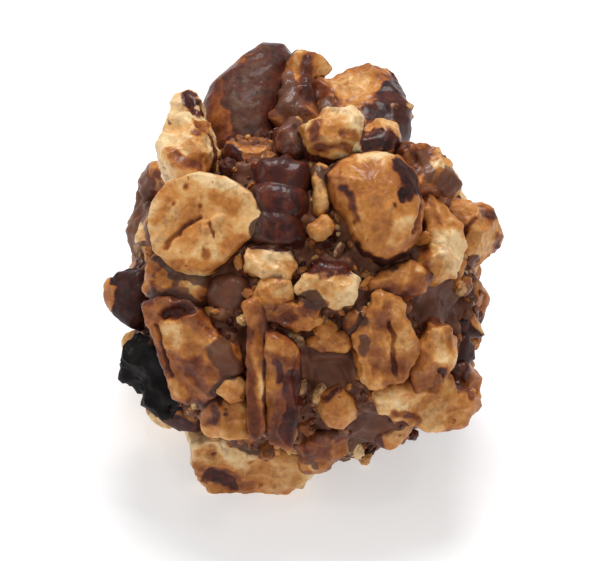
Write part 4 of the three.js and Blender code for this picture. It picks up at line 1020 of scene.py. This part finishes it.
# Lobes as one surface with its fine relief: each vertex moves along its normal by layers of noise on the
# flesh, wrinkles on the skin and the thickness of the smeared chocolate, which creeps up from the ball.
def dressed(lobes):
    starts = np.cumsum([0] + [len(lobe["verts"]) for lobe in lobes])
    quads = np.concatenate([lobe["quads"] + start for lobe, start in zip(lobes, starts)])
    join = lambda key: np.concatenate([np.broadcast_to(lobe[key], len(lobe["verts"])) for lobe in lobes])
    verts, local = (np.concatenate([lobe[key] for lobe in lobes]) for key in ("verts", "local"))
    normals = normalsOf(verts, quads)
    marked = [drawn(lobe, normals[start : start + len(lobe["verts"])]) for lobe, start in zip(lobes, starts)]
    mark = lambda key: np.concatenate(
        [np.broadcast_to(shares[key], len(lobe["verts"])) for shares, lobe in zip(marked, lobes)])
    skin = np.maximum(join("skin"), mark("skin")) * (1 - mark("flesh"))
    fromMiddle = verts - middle
    rise = (1 - 1 / ballGauge(fromMiddle)) * np.linalg.norm(fromMiddle, axis=1)  # height over the chocolate
    rough = {key: noise(verts, *pecanNoise[key]) for key in ("creep", "crevice", "smear", "fineWrinkles")}
    creep = step(rise + coating["creepRough"] * rough["creep"], *coating["creepLevels"])
    own = [lobe["piece"] for lobe in lobes]
    gap = np.concatenate([clearance(lobe["verts"] - middle, own) for lobe in lobes])
    gap = gap + coating["creviceRough"] * rough["crevice"]
    crevice = step(gap, coating["crevice"], coating["creviceFull"])
    # chocolate fills the crevices, where it also stands for their shade
    creep = np.maximum(creep, crevice)
    most = 1.0 - coating["patchGain"] * join("coat")
    patchy = 0.5 + coating["patchRough"] * layers(verts, *pecanNoise["patches"])
    patch = step(patchy, most, most + coating["patchFade"])
    coat = np.clip(np.maximum(creep, mark("coat")) + patch, 0, 1) * (1 - coating["offSkin"] * mark("skin"))
    folds = np.abs(noise(verts, *pecanNoise["folds"])) - relief["foldMean"]
    scoops, scoopTone = fracture(verts, *pecanNoise["scoops"])
    chips, chipTone = fracture(verts, *pecanNoise["chips"])
    wrinkles = noise(local * relief["wrinkleStretch"], *pecanNoise["wrinkles"])
    wrinkles = relief["wrinkle"] * (wrinkles + relief["fineWrinkle"] * rough["fineWrinkles"])
    charred = skin * (join("dark") > relief["burntFrom"])
    broken = (1 - relief["skinHides"] * skin + charred) * join("broken")
    height = broken * (relief["scoops"] * scoops + relief["chips"] * chips) + relief["folds"] * folds
    height = height + (1 - skin) * relief["grain"] * layers(verts, *pecanNoise["grain"])
    height = height + skin * (wrinkles + relief["skinStep"])
    mean, uneven = coating["depthSpread"]
    smear = coating["depth"] * coat * (mean + uneven * rough["smear"])
    height = height * (1 - coating["fills"] * coat) + smear
    # painted light and shade: ridges and raised folds paler, dents and low folds browner
    ridges = roastAndShade["ridgeShares"][0] * scoops + roastAndShade["ridgeShares"][1] * chips - roastAndShade["ridgeMean"]
    litRidges = roastAndShade["ridgeLight"] * ridges * join("broken")
    tone = join("tone") + roastAndShade["roast"] - litRidges - roastAndShade["foldLight"] * folds
    faces = roastAndShade["faces"][0] * (scoopTone - 0.5) + roastAndShade["faces"][1] * (chipTone - 0.5)
    tone = tone + roastAndShade["drift"] * noise(verts, *pecanNoise["drift"]) + faces * join("broken")
    # painted shade: browner near where the piece meets the chocolate
    tone = tone + roastAndShade["foot"] * step(rise, *roastAndShade["footLevels"])
    for kind, (depth, shade) in markDepth.items():
        height = height + depth * mark(kind)
        tone = tone + shade * mark(kind)
    verts = verts + normals * height[:, None]
    verts[:, 2] = np.maximum(verts[:, 2], 0)
    # shade is painted shade, full in the crevices between pieces and near where a piece meets the chocolate
    marks = {"tone": np.clip(tone, 0, 1), "skin": skin, "coat": coat, "dark": skin * join("dark"),
             "dustAndSheen": mark("dustAndSheen"), "shade": np.maximum(crevice, step(rise, *coating["shadeLevels"]))}
    return verts, quads, marks


for piece in wholePieces:
    grid = relief["backGrid"] if piece in backPieces else relief["wholeGrid"]
    own = [arm for arm in arms if arm["name"] == piece["name"]]
    lobes = [lobeOf(piece, grid)] + [lobeOf(arm, relief["armGrid"]) for arm in own]
    verts, quads, marks = dressed(lobes)
    made = meshPiece(piece["name"] + "_pecan", verts, quads, pecan, marks)
    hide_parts(piece["name"])
print("pecan pieces ready")


def chopGrid(piece):
    if piece in frontChops:
        return relief["frontChopGrid"]
    return relief["chopGrid"] if max(piece["size"]) > relief["chipSize"] else relief["chipGrid"]


for name, batch in (("front_chopped_pecans", frontChops), ("chopped_pecans", chops[len(frontChops) :])):
    verts, quads, marks = dressed([lobeOf(piece, chopGrid(piece)) for piece in batch])
    made = meshPiece(name, verts, quads, pecan, marks)
    print(name, "ready:", len(quads) * 2, "triangles")


spill = {
    "rise": 1.5,  # how far the chocolate climbs a piece, in mm
    "riseSpread": (0.7, 0.4),  # mean and unevenness, as shares of the rise
    "riseNoise": (1.6, 77),  # every noise here is its pitch in mm and its seed
    "levels": (2.2, 0.1),  # how far from the piece it starts to climb, and has climbed
    "search": 2.5,  # how far past its end a piece is looked for, in mm
    "crumbDepth": 0.8,
    "crumbNoise": (1.3, 71),
    "smallDepth": 0.45,  # of the smaller crumbs, as a share of the depth of the larger
    "smallNoise": (0.65, 73),
    "fineDepth": 0.3,
    "fineNoise": (1.1, 3, 75),  # with its number of layers between
    "fineShares": (0.3, 0.7),  # what stays of it everywhere, and what a bare patch can lose
    "smoothPatch": 0.75,  # share of roughness that a bare patch loses
    "patchLevels": (1.15, 0.55),  # where a bare patch starts and is full, in radii
    "cragShares": (0.6, 0.5),  # how much crumbs and height count as craggy
}


# Share 0 to 1 of being in a patch where the chocolate is smooth, seen from the front.
def inPatch(points):
    seen = points @ viewAxes.T
    outer, inner = spill["patchLevels"]
    near = [step(np.hypot(seen[:, 0] - a, seen[:, 1] - u), outer * r, inner * r) for a, u, r in barePatches]
    return np.max(near, axis=0) * (seen[:, 2] > 0)


# The chocolate along unit directions d, and how craggy it is there: the superellipsoid with its lumps,
# raised near each piece by an eased skirt, with pebbled crumbs and layers of noise on it.
def chocolateAt(d):
    base = d * ((1 + ball["lumpDepth"] * lumps(d)) / ballGauge(d))[:, None]
    raised = np.zeros(len(d))
    for piece in wholePieces + arms + chops:
        near = closeTo(piece, base, max(piece["size"]) / 2 + spill["search"])
        if len(near):
            gap = (pieceGauge(piece, base[near]) - 1) * np.mean(piece["size"]) / 2
            raised[near] = np.maximum(raised[near], spill["rise"] * step(gap, *spill["levels"]))
    smoothing = 1 - spill["smoothPatch"] * inPatch(base)
    crumbs = 1 - pebbles(base, *spill["crumbNoise"])
    small = 1 - pebbles(base, *spill["smallNoise"])
    texture = spill["crumbDepth"] * (crumbs - 0.5) + spill["smallDepth"] * spill["crumbDepth"] * (small - 0.5)
    steady, lost = spill["fineShares"]
    fine = spill["fineDepth"] * layers(base, *spill["fineNoise"]) * (steady + lost * smoothing)
    texture = smoothing * texture + fine
    mean, uneven = spill["riseSpread"]
    height = raised * (mean + uneven * noise(base, *spill["riseNoise"])) + texture
    ofCrumbs, ofHeight = spill["cragShares"]
    crag = np.clip(0.5 + (crumbs - 0.5) * ofCrumbs * smoothing + ofHeight * texture, 0, 1)
    return base + unit(base) * height[:, None], crag


def chocolateSurface():
    d, quads = cubeSphere(ball["grid"])
    verts, crag = chocolateAt(d)
    verts = verts + middle
    verts[:, 2] = np.maximum(verts[:, 2], 0)
    return verts, quads, {"crag": crag}


verts, quads, marks = chocolateSurface()
made = meshPiece("praline_chocolate", verts, quads, chocolate, marks)
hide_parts("praline_ball")
print("chocolate ready:", len(quads) * 2, "triangles")


crumbSets = [
    {"name": "pecan_bits", "seed": 80, "spots": 2600, "keep": 0.6, "size": (1.0, 2.9), "slot": "pecan",
     "grid": 3},
    {"name": "pecan_crumbs", "seed": 81, "spots": 2600, "keep": 0.5, "size": (0.5, 1.3), "slot": "pecan",
     "grid": 2},
    {"name": "praline_crumbs", "seed": 82, "spots": 2000, "keep": 0.4, "size": (0.5, 1.4),
     "slot": "chocolate", "grid": 2},
]

crumbForm = {
    "scatter": 0.06,  # how far each strays from even spacing
    "clear": 0.97,  # how near to a larger piece one may lie, whose surface is at 1
    "inPatch": 0.25,  # how far into a bare patch, whose middle is at 1
    "lowest": -0.9,  # how far under the ball, whose lowest point is at -1
    "search": 1,  # how far past its end a piece is looked for, in mm
    "sides": ([0.8, 0.5, 0.4], [1.0, 0.85, 0.7]),  # least and most of its length that each side has
    "corners": (0.74, 1.12),  # how far in and out the corners lie
    "stand": (-0.3, 0.6),  # how far in and out of the chocolate, in half thicknesses
    "tone": (0.05, 0.85),
    "crag": (0.3, 0.9),
    "skinned": 0.22,  # share of them that are skin, and that are burnt
    "burnt": 0.06,
    "dark": 0.8,
    "coated": 0.6,  # those past this share have the first coat and the others the second
    "coats": (0.5, 0.15),
    "coatUnder": 0.35,
    "underLevels": (0.1, -0.3),  # where their lower side starts and is full, in mm
    "shade": 0.3,
}


# Many small angular crumbs: a coarse cube sphere for each, its corners moved in and out at random,
# squashed, turned and half sunk in the chocolate where no larger piece lies.
def crumbs(plan):
    form = crumbForm
    dice = np.random.default_rng(plan["seed"])
    d = unit(spread(plan["spots"]) + dice.uniform(-form["scatter"], form["scatter"], (plan["spots"], 3)))
    at = chocolateAt(d)[0]
    nearest = np.full(len(d), np.inf)
    for piece in wholePieces + arms + chops:
        near = closeTo(piece, at, max(piece["size"]) / 2 + form["search"])
        if len(near):
            nearest[near] = np.minimum(nearest[near], pieceGauge(piece, at[near]))
    keep = (nearest > form["clear"]) & (dice.random(len(d)) < plan["keep"])
    keep = keep & (inPatch(at) < form["inPatch"]) & (d[:, 2] > form["lowest"])
    at = at[keep]
    grid, loops = cubeSphere(plan["grid"])
    shortest, longest = plan["size"]
    length = shortest + (longest - shortest) * dice.random(len(at)) ** 2
    halves = length[:, None] / 2 * dice.uniform(*form["sides"], (len(at), 3))
    spins = np.linalg.qr(dice.normal(size=(len(at), 3, 3)))[0]
    spins[np.linalg.det(spins) < 0] *= -1
    corners = grid[None] * dice.uniform(*form["corners"], (len(at), len(grid), 1)) * halves[:, None]
    out = unit(at) * (halves.min(1) * dice.uniform(*form["stand"], len(at)))[:, None]
    verts = (corners @ spins + (at + out + middle)[:, None]).reshape(-1, 3)
    quads = (loops[None] + np.arange(len(at))[:, None, None] * len(grid)).reshape(-1, 4)
    verts[:, 2] = np.maximum(verts[:, 2], 0)
    each = lambda values: np.repeat(values, len(grid))
    kind = dice.random(len(at))
    under = step(corners.reshape(-1, 3)[:, 2], *form["underLevels"])
    coat = np.where(kind > form["coated"], *form["coats"])
    marks = {"tone": each(dice.uniform(*form["tone"], len(at))),
             "skin": each((kind < form["skinned"]).astype(float)),
             "coat": each(coat) + form["coatUnder"] * under,
             "dark": each((kind < form["burnt"]) * form["dark"]), "dustAndSheen": each(kind * 0),
             "shade": each(kind * form["shade"]), "crag": each(dice.uniform(*form["crag"], len(at)))}
    return verts, quads, marks


for plan in crumbSets:
    verts, quads, marks = crumbs(plan)
    material = pecan if plan["slot"] == "pecan" else chocolate
    made = meshPiece(plan["name"], verts, quads, material, marks, smooth=False)
    print(plan["name"], "ready:", len(quads) * 2, "triangles")


studio = {
    "half": 3.0,  # the table's half width, in metres
    "sunk": 0.0001,  # how far the table lies under the praline
    "floor": screenColor(205, 205, 207),
    "floorPale": screenColor(208, 208, 208),
    "floorSpots": (60, 2, 0.3, 0.7),
    "glow": 0.5,  # of the lit white table
    "world": 0.36,
    "backdrop": 0.78,
    "sky": 1.46,  # strength of each light, in watts
    "front": 0.36,
    "side": 0.35,
    "glint": 0.14,
}


def makeFloor():
    shader = Shader("whiteTable")
    white = shader.mix(shader.spots(*studio["floorSpots"]), studio["floor"], studio["floorPale"])
    material = shader.finish(Base_Color=white, Roughness=0.7, Emission_Color=screenColor(255, 255, 255),
                             Emission_Strength=studio["glow"])
    mesh = bpy.data.meshes.new("table")
    half = studio["half"]
    corners = [(-half, -half, 0), (half, -half, 0), (half, half, 0), (-half, half, 0)]
    mesh.from_pydata(corners, [], [(0, 1, 2, 3)])
    mesh.materials.append(material)
    floor = bpy.data.objects.new("table", mesh)
    floor.location.z = -studio["sunk"]
    bpy.context.scene.collection.objects.link(floor)


def softLight(name, place, size, power, aim=(0, 0, 0.016)):
    light = bpy.data.lights.new(name, "AREA")
    light.shape, light.size, light.energy = "DISK", size, power
    made = bpy.data.objects.new(name, light)
    made.location = place
    made.rotation_euler = (Vector(aim) - Vector(place)).to_track_quat("-Z", "Y").to_euler()
    bpy.context.scene.collection.objects.link(made)


# each light's place and width, in metres, and its strength
lights = {
    "overhead": ((0.02, 0.16, 0.42), 0.22, studio["sky"]),
    "frontFill": ((0.1, -0.5, 0.35), 0.4, studio["front"]),
    "leftFill": ((-0.45, -0.05, 0.25), 0.3, studio["side"]),
    "glintBack": ((-0.2, 0.25, 0.4), 0.05, studio["glint"]),
    "glintFront": ((0.22, -0.12, 0.42), 0.05, studio["glint"]),
}
makeFloor()
for name, (place, size, power) in lights.items():
    softLight(name, place, size, power)
world = bpy.data.worlds.new("studio")
world.use_nodes = True
background = world.node_tree.nodes["Background"]
background.inputs["Color"].default_value = (1, 1, 1, 1)
direct = world.node_tree.nodes.new("ShaderNodeLightPath")  # the backdrop shows whiter than it lights
strength = world.node_tree.nodes.new("ShaderNodeMapRange")
world.node_tree.links.new(direct.outputs["Is Camera Ray"], strength.inputs["Value"])
strength.inputs["To Min"].default_value = studio["world"]
strength.inputs["To Max"].default_value = studio["backdrop"]
world.node_tree.links.new(strength.outputs["Result"], background.inputs["Strength"])
bpy.context.scene.world = world
bpy.context.scene.view_settings.view_transform = "Standard"

view = {"distance": 0.62, "lens": 390, "aim": (-0.0005, -0.0006, 0.0172)}
lensCamera = bpy.data.cameras.new("camera")
lensCamera.lens = view["lens"]
lensCamera.clip_start = 0.01
camera = bpy.data.objects.new("camera", lensCamera)
back = Vector((0, -np.cos(tilt), np.sin(tilt)))
camera.location = Vector(view["aim"]) + back * view["distance"]
camera.rotation_euler = (-back).to_track_quat("-Z", "Y").to_euler()
bpy.context.scene.collection.objects.link(camera)
bpy.context.scene.camera = camera
print("studio ready")
